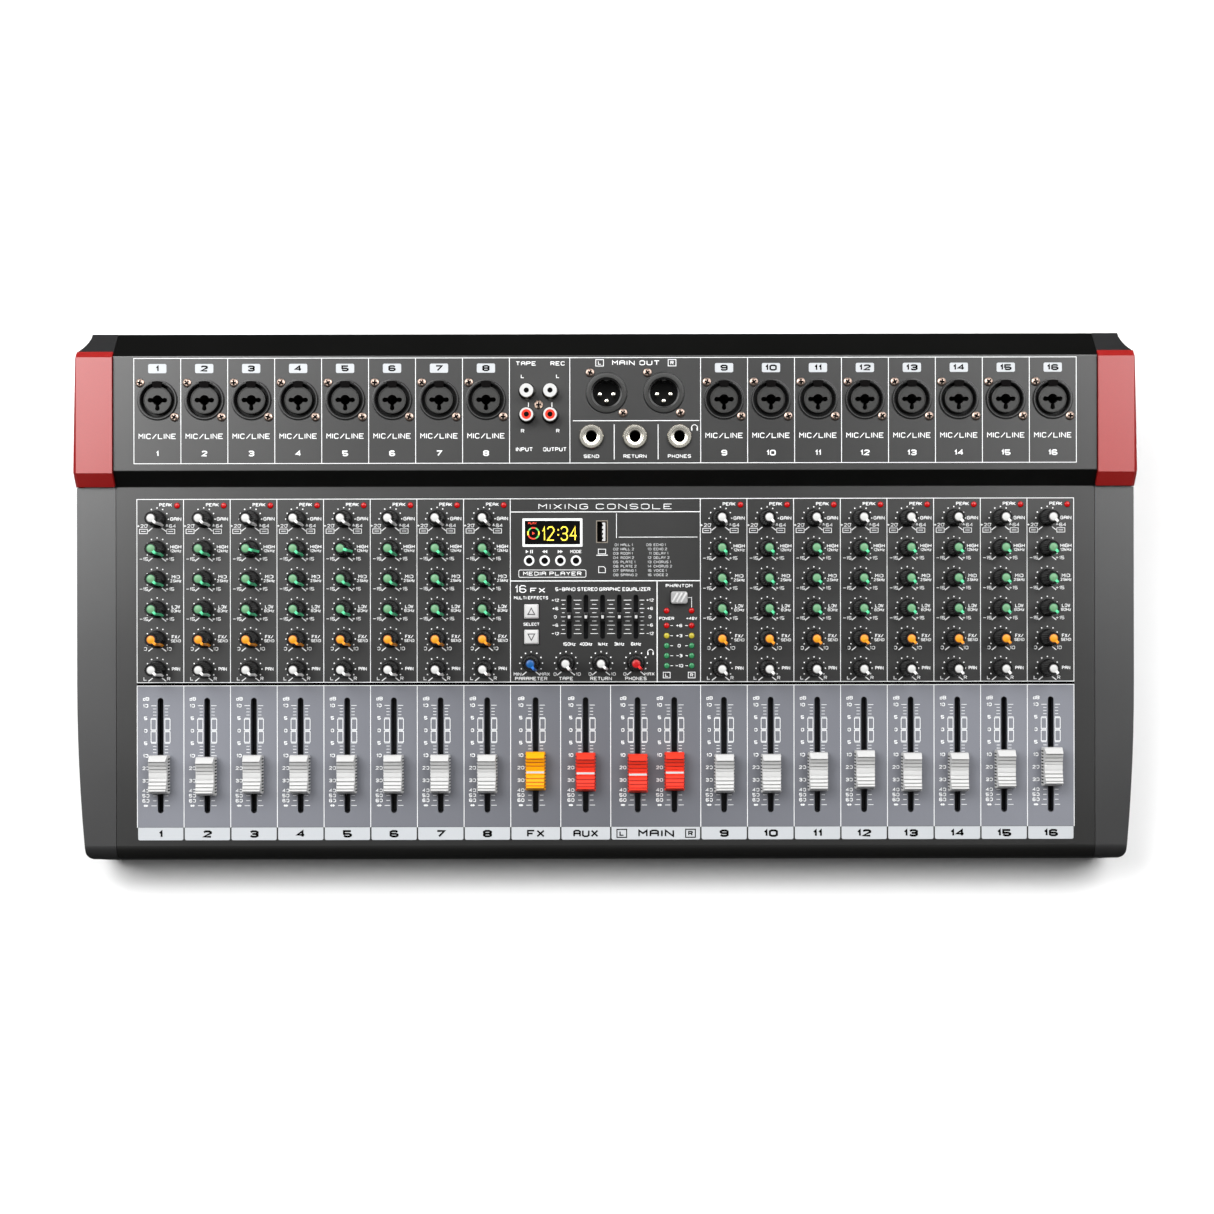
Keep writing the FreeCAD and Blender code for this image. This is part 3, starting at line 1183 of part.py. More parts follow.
def make_rocker():
    body = new_body("rocker")
    side = new_sketch(body, "YZ_Plane")
    polygon(side, [("-rocker_back", "-rocker_half"), ("rocker_nose", "-rocker_half"), ("rocker_waist", "0"),
                   ("rocker_nose", "rocker_half"), ("-rocker_back", "rocker_half"), ("-rocker_back - 1.5", "0")])
    pad(body, side, "rocker_width", "Symmetric")
    pins = new_sketch(body, "YZ_Plane")
    circle(pins, "0", "0", "pivot_radius")
    pad(body, pins, "pivot_length", "Symmetric")
    pivot = Vector(number("inlet_x + rocker_x"), number(inlet_face() + " - pivot_depth"), number("inlet_z"))
    body.Placement = Placement(pivot, Rotation(Vector(1, 0, 0), number("rocker_tilt")))
    keep(body, "power_rocker")


# ---------------------------------------------------------------- checks and files

def check():
    for obj in doc.Objects:
        if "Invalid" in obj.State or "Error" in obj.State:
            raise RuntimeError(f"{obj.Name} failed: {obj.State}")
    for node in nodes:
        if node.Shape.isNull() or not node.Shape.isValid():
            raise RuntimeError(f"{node.Label} has no valid shape")


def main():
    fill_sheet()
    make_top_panel()
    make_base_tray()
    make_cheeks()
    make_trims()
    make_feet()
    make_knobs(make_knob_unit())
    make_faders(make_fader_unit())
    make_eq_sliders()
    make_buttons()
    doc.recompute()
    make_potentiometers()
    make_circuit_boards()
    make_lamps()
    make_player()
    make_channel_sockets()
    make_main_outputs()
    make_phone_jacks()
    make_phono_sockets()
    make_screws()
    make_inlet()
    make_rocker()
    doc.recompute()
    check()
    os.makedirs("parts", exist_ok=True)
    for node in nodes:
        node.Shape.exportStep(f"parts/{node.Label}.step")
    box = Part.makeCompound([node.Shape for node in nodes]).BoundBox
    print(len(nodes), "sub-parts", [round(n, 2) for n in (box.XMin, box.XMax, box.YMin, box.YMax, box.ZMin, box.ZMax)])


main()
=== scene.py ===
"""A mixing console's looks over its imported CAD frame.

Sizes are in millimetres in the control panel's own frame: u runs right, v up the slope and w out
of the panel. Meshes and places are turned into metres when they are made."""

import json
import math

import bmesh
import bpy
from mathutils import Matrix, Vector
from mathutils.geometry import tessellate_polygon


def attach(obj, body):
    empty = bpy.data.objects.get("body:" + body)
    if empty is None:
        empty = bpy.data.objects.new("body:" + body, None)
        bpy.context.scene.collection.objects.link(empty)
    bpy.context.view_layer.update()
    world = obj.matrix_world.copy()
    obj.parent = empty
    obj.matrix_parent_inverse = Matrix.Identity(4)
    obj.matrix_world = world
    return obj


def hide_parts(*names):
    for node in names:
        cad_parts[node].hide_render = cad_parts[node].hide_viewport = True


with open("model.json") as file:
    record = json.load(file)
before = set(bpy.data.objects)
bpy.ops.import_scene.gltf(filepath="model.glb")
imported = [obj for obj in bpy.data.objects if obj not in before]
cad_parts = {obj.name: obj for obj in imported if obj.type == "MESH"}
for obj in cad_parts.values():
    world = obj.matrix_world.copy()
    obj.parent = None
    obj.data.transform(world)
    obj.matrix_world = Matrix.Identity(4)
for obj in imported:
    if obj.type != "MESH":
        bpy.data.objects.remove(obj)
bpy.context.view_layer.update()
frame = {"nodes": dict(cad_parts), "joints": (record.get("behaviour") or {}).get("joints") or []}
MM = 0.001
ROOT = "console"

# ---- the panel's frame and layout

KNOB_V, KNOB_PITCH = 53.4, 18
RAISED = 7
SOCKET_V = 124.1
FIELD_TOP, FIELD_FOOT = -46.6, -131.4
PANEL_TOP, KNOB_FOOT = 65.3, -44.6
RAISED_TOP, RAISED_FOOT, BADGE_V = 149, 86.2, 142.9
FRAME_U, STRIP, CENTRE_U = 281, 28, 57
SLOT_V, SLOT_LENGTH, SLOT_WIDTH = -88.4, 69, 3.5
# How deep print is sunk, and how high lines and letters stand
SINK, INK, OVER = -0.03, 0.04, 0.08

joints = {j["child"]: j for j in frame["joints"]}
slope = Vector(joints["channel_01_fader"]["axis"])
turn_in = Matrix.Rotation(math.atan2(slope.z, slope.y), 4, "X")
first_knob = Vector(joints["channel_01_gain_knob"]["pos_m"])
origin = first_knob - turn_in @ Vector((first_knob.x, KNOB_V * MM, 0))
PANEL = Matrix.Translation(origin) @ turn_in


def place(u, v, w=0, turn=0):
    """Where a piece stands on the panel, turned clockwise about its own axis."""
    spot = Matrix.Translation(Vector((u, v, w)) * MM)
    return PANEL @ spot @ Matrix.Rotation(-math.radians(turn), 4, "Z")


def middle(node):
    """The middle of a CAD node in the panel's frame."""
    inverse = PANEL.inverted()
    points = [inverse @ p.co / MM for p in frame["nodes"][node].data.vertices]
    return [(min(p[i] for p in points) + max(p[i] for p in points)) / 2 for i in range(2)]


def knob_place(node):
    """A turning knob's place: its joint's point, and half of its travel as its turn at rest."""
    joint = joints[node]
    spot = PANEL.inverted() @ Vector(joint["pos_m"]) / MM
    return spot.x, spot.y, (joint["range_deg"][0] + joint["range_deg"][1]) / 2


STRIPS = [middle(f"channel_{i:02d}_fader")[0] for i in range(1, 17)]
KNOB_U, _, KNOB_TURN = knob_place("channel_01_gain_knob")
KNOB_SIDE = KNOB_U - STRIPS[0]


# ---- materials


def shade(name, colour, rough=0.4, vary=0.03, grain=1500, bump=0.05, metal=0.0, glow=0.0, sheen=0.5,
          centre_shade=0.0):
    """A finish with a fine grain and an uneven gloss. Painted shade may darken it near X = 0, by a given
    part.
    """
    material = bpy.data.materials.new(name)
    material.use_nodes = True
    nodes, link = material.node_tree.nodes, material.node_tree.links.new

    def add(kind, **values):
        node = nodes.new(f"ShaderNode{kind}")
        for name, value in values.items():
            node.inputs[name.replace("_", " ")].default_value = value
        return node

    shader = nodes["Principled BSDF"]
    shader.inputs["Metallic"].default_value = metal
    shader.inputs["Specular IOR Level"].default_value = sheen
    where = add("TexCoord")
    fine, slow = add("TexNoise", Scale=grain, Detail=3), add("TexNoise", Scale=14)
    for noise in (fine, slow):
        link(where.outputs["Object"], noise.inputs["Vector"])
    ramp = add("ValToRGB")
    for stop, position, change in zip(ramp.color_ramp.elements, (0.3, 0.7), (-vary, vary)):
        stop.position = position
        stop.color = [min(1, c * (1 + change)) for c in colour] + [1]
    link(fine.outputs["Fac"], ramp.inputs["Fac"])
    link(ramp.outputs["Color"], shader.inputs["Base Color"])
    # Painted shade: the colour darkens towards X = 0, where less light falls on the middle of the panel.
    if centre_shade:
        split = add("SeparateXYZ")
        link(where.outputs["Object"], split.inputs["Vector"])
        away = add("Math")
        away.operation = "ABSOLUTE"
        link(split.outputs["X"], away.inputs[0])
        level = add("MapRange", From_Max=0.25, To_Min=1 - centre_shade)
        link(away.outputs["Value"], level.inputs["Value"])
        scaled = add("VectorMath")
        scaled.operation = "SCALE"
        link(ramp.outputs["Color"], scaled.inputs[0])
        link(level.outputs["Result"], scaled.inputs["Scale"])
        link(scaled.outputs["Vector"], shader.inputs["Base Color"])
    if glow:
        link(ramp.outputs["Color"], shader.inputs["Emission Color"])
        shader.inputs["Emission Strength"].default_value = glow
    gloss = add("MapRange", To_Min=rough * 0.85, To_Max=rough * 1.15)
    link(slow.outputs["Fac"], gloss.inputs["Value"])
    link(gloss.outputs["Result"], shader.inputs["Roughness"])
    relief = add("Bump", Strength=bump, Distance=0.0001)
    link(fine.outputs["Fac"], relief.inputs["Height"])
    link(relief.outputs["Normal"], shader.inputs["Normal"])
    return material


# Where a finish names no value of its own, it has the one in shade's first line.
PAINT = dict(rough=0.36, grain=2600, bump=0.22, vary=0.16)
LENS = dict(rough=0.22, grain=400, bump=0.02, vary=0.08, sheen=0.4)
CAP = dict(rough=0.5, bump=0.08, sheen=0.15)
LIT = dict(grain=900, bump=0.02, glow=0.5)
FINISHES = {
    "case": dict(PAINT, colour=(0.0038, 0.0038, 0.0034), sheen=0.85),
    # fold: the case's paint made darker and duller, as painted shade on the leaning step and rear bevel.
    "fold": dict(PAINT, colour=(0.002, 0.002, 0.0018), sheen=0.4),
    "cheek": dict(colour=(0.016, 0.016, 0.0165), rough=0.35, grain=1700, bump=0.3, vary=0.12, sheen=1.0),
    "trim": dict(colour=(0.3, 0.006, 0.005), rough=0.36, grain=1200, bump=0.04, vary=0.05, sheen=1.0),
    "tray": dict(colour=[0.012] * 3, rough=0.5, grain=2200, bump=0.25, vary=0.15),
    "rubber": dict(colour=[0.012] * 3, rough=0.8, grain=2500, bump=0.4, vary=0.2),
    "print": dict(colour=(0.84, 0.85, 0.85), rough=0.45, grain=3000, bump=0.1),
    "faint": dict(colour=(0.4, 0.41, 0.41), rough=0.5, grain=3000, bump=0.1, vary=0.05),
    # The fader ground carries painted shade, darker towards the panel's middle.
    "field": dict(colour=(0.19, 0.197, 0.224), rough=0.42, grain=2600, bump=0.15, vary=0.05, centre_shade=0.4),
    "label": dict(colour=(0.5, 0.52, 0.54), grain=2600, bump=0.1),
    # dark: black parts and dark print, and painted shade in the fader caps' foot gaps, the screw crosses
    # and the phono holes.
    "dark": dict(colour=(0.004, 0.0035, 0.0035), rough=0.6, grain=2600, bump=0.1, vary=0.15, sheen=0.02),
    "black": dict(colour=[0.005] * 3, rough=0.28, grain=1800, bump=0.15, vary=0.2, sheen=0.32),
    "nickel": dict(colour=(0.44, 0.33, 0.275), rough=0.34, grain=1200, bump=0.1, vary=0.08, metal=1.0),
    "silver": dict(colour=(0.8, 0.77, 0.68), rough=0.24, grain=1200, bump=0.08, vary=0.05, metal=1.0),
    "steel": dict(colour=(0.5, 0.42, 0.34), rough=0.3, bump=0.1, vary=0.1, metal=1.0),
    # insert: the sockets' inserts and the outlets' flanges, and the two painted highlight marks beside each
    # socket's latch.
    "insert": dict(colour=(0.018, 0.018, 0.017), rough=0.38, bump=0.15, vary=0.08),
    # ring: a grey for the painted highlight arc on the sockets' flanges and for the select keys' arrow
    # outlines.
    "ring": dict(colour=[0.045] * 3, rough=0.3, bump=0.1, vary=0.06),
    "glass": dict(colour=[0.003] * 3, rough=0.12, grain=200, bump=0.01, vary=0.1, sheen=0.12),
    # white: caps, key faces and marks, and the phono sockets' rims, where it is painted reflection.
    "white": dict(CAP, colour=(0.54, 0.54, 0.535), vary=0.02, sheen=0.3),
    "cream": dict(colour=[0.29] * 3, rough=0.42, bump=0.08),
    "orange": dict(CAP, colour=(0.88, 0.35, 0.003)),
    "red": dict(CAP, colour=(0.76, 0.038, 0.018)),
    # Darker copies of the cap colours: painted shade lining the caps' grooves.
    "groove_white": dict(colour=(0.28, 0.28, 0.275), rough=0.6, vary=0.05),
    "groove_orange": dict(colour=(0.5, 0.14, 0.003), rough=0.6, vary=0.05),
    "groove_red": dict(colour=(0.36, 0.014, 0.008), rough=0.6, vary=0.05),
    "disc_white": dict(colour=(0.56, 0.56, 0.55), vary=0.02),
    "disc_green": dict(colour=(0.125, 0.3, 0.15)),
    "disc_orange": dict(colour=(0.66, 0.28, 0.004)),
    "disc_blue": dict(colour=(0.004, 0.085, 0.28), rough=0.3),
    "disc_red": dict(colour=(0.44, 0.004, 0.006), rough=0.3),
    # Darker copies of the disc colours: painted shade on the sides of the knobs' caps.
    "deep_white": dict(colour=(0.26, 0.25, 0.25)),
    "deep_green": dict(colour=(0.03, 0.17, 0.075), vary=0.04),
    "deep_orange": dict(colour=(0.42, 0.1, 0.006), vary=0.04),
    "deep_blue": dict(colour=(0.004, 0.04, 0.16), vary=0.04),
    "deep_red": dict(colour=(0.25, 0.005, 0.006), vary=0.04),
    # Pointer stripes: their own paint, made lighter than the caps as painted light on the knobs' shaded
    # sides.
    "stripe_white": dict(colour=(0.9, 0.89, 0.88)),
    "stripe_green": dict(colour=(0.1, 0.72, 0.34), vary=0.04),
    "stripe_orange": dict(colour=(0.95, 0.32, 0.015), vary=0.04),
    "stripe_blue": dict(colour=(0.02, 0.16, 0.6), vary=0.04),
    "stripe_red": dict(colour=(0.8, 0.02, 0.02), vary=0.04),
    "lamp_red": dict(LENS, colour=(0.42, 0.003, 0.003)),
    "lamp_yellow": dict(LENS, colour=(0.42, 0.35, 0.03)),
    "lamp_green": dict(LENS, colour=(0.03, 0.2, 0.08)),
    "digit": dict(LIT, colour=(0.95, 0.72, 0.05)),
    "digit_red": dict(LIT, colour=(0.85, 0.05, 0.02)),
    "digit_green": dict(LIT, colour=(0.1, 0.5, 0.1), glow=0.4),
    "board": dict(colour=(0.01, 0.09, 0.03), rough=0.45, grain=700, bump=0.1, vary=0.2),
    "device": dict(colour=(0.004, 0.005, 0.009), grain=900, bump=0.1, vary=0.15),
}
made = {}


def finish(name):
    """The material of a finish, made once."""
    if name not in made:
        made[name] = shade(name, **FINISHES[name])
    return made[name]


# ---- shapes


def circle(x, y, radius, count=40, start=0.0, sweep=360.0):
    """Points of a circle or of an arc, whose angles run clockwise from the top."""
    steps = count if sweep == 360 else count - 1
    turns = [math.radians(start + sweep * i / steps) for i in range(count)]
    return [(x + radius * math.sin(t), y + radius * math.cos(t)) for t in turns]


def rounded(x, y, width, height, radius, foot_only=False, count=5):
    """A rectangle with round corners, or with only its lower two round."""
    line = []
    for i, (a, b) in enumerate(((1, 1), (1, -1), (-1, -1), (-1, 1))):
        if foot_only and b > 0:
            line.append((x + a * width / 2, y + b * height / 2))
            continue
        corner = (x + a * (width / 2 - radius), y + b * (height / 2 - radius))
        line += circle(*corner, radius, count, start=90 * i, sweep=90)
    return line


class Shape:
    """Closed solids in millimetres, gathered into one mesh with a finish for each face.

    Flat shapes are thin print, sunk a little into the panel, where no heights or finish are given."""

    def __init__(self):
        self.points, self.faces, self.finishes = [], [], []

    def add(self, points, faces, name):
        start = len(self.points)
        self.points += [tuple(p) for p in points]
        self.faces += [[start + i for i in face] for face in faces]
        self.finishes += [name] * len(faces)

    def prism(self, outline, low=SINK, high=INK, name="print", holes=()):
        rings = [list(ring) for ring in (outline, *holes)]
        flat = [p for ring in rings for p in ring]
        count = len(flat)
        cut = tessellate_polygon([[Vector((x, y, 0)) for x, y in ring] for ring in rings])
        faces = [[i + count for i in t] for t in cut] + [list(reversed(t)) for t in cut]
        start = 0
        for ring in rings:
            for i in range(len(ring)):
                j = start + (i + 1) % len(ring)
                faces.append((start + i, j, j + count, start + i + count))
            start += len(ring)
        self.add([(x, y, z) for z in (low, high) for x, y in flat], faces, name)

    def box(self, x, y, width, height, low=SINK, high=INK, name="print"):
        a, b = width / 2, height / 2
        self.prism([(x - a, y - b), (x + a, y - b), (x + a, y + b), (x - a, y + b)], low, high, name)

    def loft(self, sections, name, closed=False):
        """Joins sections with the same number of points, and caps the ends of an open row."""
        size, count = len(sections[0]), len(sections)
        faces = []
        for i in range(count if closed else count - 1):
            a, b = i * size, (i + 1) % count * size
            faces += [(a + k, a + (k + 1) % size, b + (k + 1) % size, b + k) for k in range(size)]
        if not closed:
            faces += [tuple(range(size)), tuple(range((count - 1) * size, count * size))]
        self.add([p for section in sections for p in section], faces, name)

    def stroke(self, line, width, low=SINK, high=INK, name="print", closed=False, square=True):
        """A line of even width with mitred corners and square ends."""
        line = [Vector(p) for p in line]
        count, sections = len(line), []
        for i, point in enumerate(line):
            ways = []
            if i or closed:
                ways.append((point - line[i - 1]).normalized())
            if i < count - 1 or closed:
                ways.append((line[(i + 1) % count] - point).normalized())
            sides = [Vector((-way.y, way.x)) for way in ways]
            side = (sides[0] + sides[-1]).normalized()
            side *= width / 2 / max(0.5, side.dot(sides[0]))
            if len(ways) == 1 and square:
                point = point + ways[0] * (-width / 2 if i == 0 else width / 2)
            a, b = point + side, point - side
            sections.append([(*a, low), (*b, low), (*b, high), (*a, high)])
        self.loft(sections, name, closed)

    def outline(self, x0, y0, x1, y1, width, low=SINK, high=INK, name="print"):
        self.stroke([(x0, y0), (x1, y0), (x1, y1), (x0, y1)], width, low, high, name, closed=True)

    def ring(self, x, y, outer, inner, low=SINK, high=INK, name="print", count=40):
        self.prism(circle(x, y, outer, count), low, high, name, [circle(x, y, inner, count)])

    def lathe(self, profile, names, x=0, y=0, count=48, closed=False, flutes=0, depth=0.0, band=()):
        """Turns a profile of radius and height about an upright axis. A band of heights may be fluted."""
        points, rows = [], []
        for radius, height in profile:
            if radius < 1e-6:
                rows.append([len(points)])
                points.append((x, y, height))
                continue
            rows.append(list(range(len(points), len(points) + count)))
            for k in range(count):
                turn = math.tau * k / count
                wave = depth * math.cos(flutes * turn) if flutes and band[0] <= height <= band[1] else 0
                reach = radius + wave
                points.append((x + reach * math.sin(turn), y + reach * math.cos(turn), height))
        pairs = len(rows) if closed else len(rows) - 1
        for i in range(pairs):
            a, b = rows[i], rows[(i + 1) % len(rows)]
            faces = []
            for k in range(count):
                j = (k + 1) % count
                face = dict.fromkeys((a[k % len(a)], a[j % len(a)], b[j % len(b)], b[k % len(b)]))
                if len(face) > 2:
                    faces.append(face)
            self.add([], faces, names if isinstance(names, str) else names[i])
        self.points += points

    def mesh(self, name, bevel=0.0):
        """The shapes as a mesh in metres, with its edges broken if a bevel is given."""
        mesh = bpy.data.meshes.new(name)
        mesh.from_pydata(self.points, [], self.faces)
        used = sorted(set(self.finishes))
        for item in used:
            mesh.materials.append(finish(item))
        mesh.polygons.foreach_set("material_index", [used.index(n) for n in self.finishes])
        work = bmesh.new()
        work.from_mesh(mesh)
        bmesh.ops.recalc_face_normals(work, faces=work.faces)
        if bevel:
            edges = [e for e in work.edges if e.is_manifold and e.calc_face_angle(0) > 0.6]
            bmesh.ops.bevel(work, geom=edges, offset=bevel, offset_type="OFFSET", segments=2,
                            profile=0.5, affect="EDGES", clamp_overlap=True)
        bmesh.ops.scale(work, vec=(MM, MM, MM), verts=work.verts)
        work.to_mesh(mesh)
        work.free()
        mesh.shade_smooth()
        mesh.set_sharp_from_angle(angle=math.radians(32))
        return mesh


def add_object(name, data):
    item = bpy.data.objects.new(name, data)
    bpy.context.scene.collection.objects.link(item)
    return item


def put(name, mesh, where, body=ROOT, slot="", stands_for=()):
    """Adds a mesh as a piece of the console."""
    piece = add_object(name, mesh)
    piece.matrix_world = where
    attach(piece, body)
    if stands_for:
        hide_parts(*stands_for)
    return piece


# ---- lettering

FONT = {
    "A": "00 05 16 36 45 40/03 43", "B": "00 06 36 45 44 33 03/33 42 41 30 00",
    "C": "45 36 16 05 01 10 30 41", "D": "00 06 26 45 41 20 00 06", "E": "40 00 06 46/03 33",
    "F": "00 06 46/03 33", "G": "45 36 16 05 01 10 30 41 43 23", "H": "00 06/40 46/03 43",
    "I": "20 26", "K": "00 06/46 13 40/03 13", "L": "06 00 40",
    "M": "00 06 23 46 40", "N": "00 06 40 46", "O": "01 05 16 36 45 41 30 10 01 05",
    "P": "00 06 36 45 44 33 03", "Q": "01 05 16 36 45 41 30 10 01 05/22 40",
    "R": "00 06 36 45 44 33 03/23 40",
    "S": "45 36 16 05 04 13 33 42 41 30 10 01", "T": "06 46/26 20", "U": "06 01 10 30 41 46",
    "V": "06 20 46", "W": "06 10 24 30 46", "X": "00 46/06 40", "Y": "06 23 46/23 20",
    "Z": "06 46 00 40", "0": "01 05 16 36 45 41 30 10 01 05", "1": "14 26 20",
    "2": "05 16 36 45 44 00 40", "3": "05 16 36 45 44 33 13/33 42 41 30 10 01",
    "4": "30 36 02 42", "5": "46 06 03 33 42 41 30 10 01",
    "6": "45 36 16 05 01 10 30 41 42 33 03", "7": "06 46 10",
    "8": "13 04 05 16 36 45 44 33 13 02 01 10 30 41 42 33", "9": "01 10 30 41 45 36 16 05 04 13 43",
    "+": "03 43/25 21", "-": "03 43", "/": "00 46", ".": "20 21", "k": "00 06/34 02 30",
    "z": "04 34 00 30", "d": "30 36/34 04 00 30", "@": "23 34 43 32 23 14 03 12 23",
}


def text(shape, words, u, v, height, name="print", w=0.0, width=None, weight=0.18, anchor=0.5, spread=0.18):
    """Plain squared lettering about a point, stretched to a width where one is given."""
    lines, pen = [], 0
    for letter in words:
        if letter == " ":
            pen += 2.6
            continue
        strokes = [[(int(p[0]), int(p[1])) for p in s.split()] for s in FONT[letter].split("/")]
        across = [x for s in strokes for x, _ in s]
        low, high = min(across), max(across)
        lines += [[(x - low + pen, y) for x, y in s] for s in strokes]
        pen += high - low + 1.9
    pen -= 1.9
    thick = height * weight
    unit = ((width - thick) / pen) if width and pen else height * spread
    rise = (height - thick) / 6
    left = u - pen * unit * anchor
    for i, line in enumerate(lines):
        spots = [(left + x * unit, v + (y - 3) * rise) for x, y in line]
        shape.stroke(spots, thick, w + SINK, w + OVER + 0.01 * (i % 4), name, square=False)


def headphones(shape, u, v, radius, w):
    """A plain headphone sign."""
    shape.stroke(circle(u, v, radius, 15, -90, 180), radius * 0.22, w + SINK, w + OVER)
    for side in (-1, 1):
        x, y = u + side * radius * 0.92, v - radius * 0.45
        shape.box(x, y, radius * 0.42, radius * 0.95, w + SINK, w + OVER)


# ---- knobs and faders

KNOB_TOP, SKIRT_TOP, GRIP_FOOT = 17, 2, 5


def knob_mesh(colour):
    """A fluted black knob on its shaft, with a coloured cap and a stripe down to its skirt."""
    shape = Shape()
    shape.lathe([(0, -5), (2.9, -5), (2.9, 1), (5.1, 1), (5.3, 1.2), (5.3, 1.8), (5.15, SKIRT_TOP),
                 (4.45, 3.1), (4.15, GRIP_FOOT), (3.85, 16.1), (3.7, 16.6), (3.35, KNOB_TOP),
                 (0, KNOB_TOP)], "black", count=90, flutes=18, depth=0.22, band=(4, 16.3))
    # The cap's rim in a darker copy of its colour: painted shade on its side.
    shape.lathe([(2.1, 16.9), (2.5, 16.9), (2.5, 17.02), (2.42, 17.08), (2.15, 17.08), (2.1, 17.04)],
                f"deep_{colour}", count=36, closed=True)
    shape.lathe([(0, 16.9), (2.15, 16.9), (2.15, 17.08), (2.0, 17.16), (0, 17.2)], f"disc_{colour}",
                count=36)
    path = [(0.8, (1.7, 16.8), (1.7, 17.13)), (0.78, (3.45, 16.8), (3.6, 17.12)),
            (0.76, (3.6, 16.4), (4.2, 16.6)), (0.72, (3.9, GRIP_FOOT), (4.9, GRIP_FOOT + 0.3)),
            (0.7, (4.1, 2.6), (5.1, 3.3)), (0.7, (4.9, 1.7), (5.6, 2.35)),
            (0.68, (5.0, 1.1), (5.65, 1.1))]
    # The stripe's finish is lighter than the cap: painted light where it runs down the shaded side.
    shape.loft([[(-half, *a), (half, *a), (half, *b), (-half, *b)] for half, a, b in path],
               f"stripe_{colour}")
    return shape.mesh(f"knob_{colour}")


CAP_FOOT, CAP_TOP, CAP_WIDE, CAP_SLIM = 1.8, 11, 5.85, 5.1
GRIPS, NECKS, MARK_V, TOOTH_PITCH = (7.7, 5.6, 3.4, -4.0, -6.2, -8.2), (1.3, -1.9), -0.3, 1.89


def cap_side(w):
    """Half of a fader cap's width, which narrows upwards."""
    return CAP_WIDE - (CAP_WIDE - CAP_SLIM) * (w - CAP_FOOT) / (CAP_TOP - CAP_FOOT)


def dished(v):
    """The height of a fader cap's hollow top between its two crests."""
    across = (v + 0.45) / 8.85
    return 7.8 + 3.2 * min(1, across * across)


def fader_mesh(colour):
    """A dished and grooved cap with a ribbed foot, on its steel lever."""
    line = [(-11.65, CAP_FOOT), (11.65, CAP_FOOT), (11.6, 7), (8.6, 10.9), (8.35, CAP_TOP)]
    for v in sorted(GRIPS + NECKS, reverse=True):
        cut = 0.35 if v in NECKS else 0.75
        line += [(v + 0.36, dished(v + 0.36)), (v + 0.22, dished(v) - cut), (v - 0.22, dished(v) - cut),
                 (v - 0.36, dished(v - 0.36)), (v - 1.0, dished(v - 1.0))]
    line += [(-9.25, CAP_TOP), (-9.5, 10.8)]
    shape = Shape()
    count = len(line)
    points = [(side * cap_side(w), v, w) for side in (-1, 1) for v, w in line]
    ends = tessellate_polygon([[Vector((v, w, 0)) for v, w in line]])
    faces = [list(t) for t in ends] + [[i + count for i in reversed(t)] for t in ends]
    faces += [(i, (i + 1) % count, (i + 1) % count + count, i + count) for i in range(count)]
    shape.add(points, faces, colour)
    # Each groove is lined with a darker copy of the cap's colour: painted shade.
    for v in GRIPS:
        floor = dished(v) - 0.7
        shape.box(0, v, 2 * cap_side(floor) + 0.02, 0.42, floor - 0.3, floor + 0.04, f"groove_{colour}")
    low, high = dished(MARK_V) - 0.3, dished(MARK_V) + 0.12
    shape.box(0, MARK_V, 2 * cap_side(high) + 0.04, 1.15, low, high, "white")
    # Teeth on the foot, with dark plates in the gaps between them: painted shade.
    teeth, slots = ((2.1, 0.3), (6.4, 0.22)), ((2.1, 0.06), (5.4, 0.06))
    for side in (-1, 1):
        for count, half, deep, ends, name in ((12, 0.5, 0.6, teeth, colour),
                                              (11, 0.42, 0.3, slots, "dark")):
            for i in range(count):
                v = TOOTH_PITCH * (i - (count - 1) / 2)
                rows = [(cap_side(w) + out, w) for w, out in ends]
                shape.loft([[(side * (r - deep), v - half, w), (side * (r - deep), v + half, w),
                             (side * r, v + half, w), (side * r, v - half, w)] for r, w in rows], name)
    shape.box(0, 0, 1.6, 5, -6.5, 6, "silver")
    return shape.mesh(f"fader_{colour}")


KNOB_ROWS = {"gain": "white", "high": "green", "mid": "green", "low": "green", "effects": "orange",
             "pan": "white"}
MASTER_KNOBS = {"parameter_knob": "blue", "tape_knob": "white", "return_knob": "white",
                "phones_knob": "red"}
knobs = {colour: knob_mesh(colour) for colour in ("white", "green", "orange", "blue", "red")}
faders = {colour: fader_mesh(colour) for colour in ("white", "orange", "red")}
TURNED, FURTHER = ("channel_03_high_knob", "channel_05_high_knob"), 106

for i, (row, colour) in enumerate(KNOB_ROWS.items()):
    v = KNOB_V - KNOB_PITCH * i
    for channel, u in enumerate(STRIPS, start=1):
        node = f"channel_{channel:02d}_{row}_knob"
        turn = FURTHER if node in TURNED else KNOB_TURN
        rides = (node, f"knob_{colour}", [node])
        if node not in joints:
            rides = (ROOT, "knob_grey", ["channel_knobs"])
        put(f"{node}_detail", knobs[colour], place(u + KNOB_SIDE, v, turn=turn), *rides)
for node, colour in MASTER_KNOBS.items():
    u, v, turn = knob_place(node)
    put(f"{node}_detail", knobs[colour], place(u, v, turn=turn), node, f"knob_{colour}", [node])
for node in joints:
    if node.endswith("_fader"):
        colour = {"effects_fader": "orange"}.get(node, "white" if node.startswith("channel") else "red")
        put(f"{node}_cap", faders[colour], place(*middle(node)), node, f"cap_{colour}", [node])


# ---- small levers, buttons and lamps


def lever_mesh():
    """An equaliser slider's lever with a white mark across its top."""
    shape = Shape()
    shape.box(0, 0, 2.3, 5.4, -4, 6.6, "black")
    shape.box(0, 0, 2.0, 5.1, 6.5, 7, "black")
    for step in (-1.7, 1.7):
        shape.box(0, step, 2.4, 0.35, 3, 6.9, "black")
    shape.box(0, 0, 1.6, 1.9, 5, 7.06, "white")
    return shape.mesh("eq_lever", bevel=0.06)


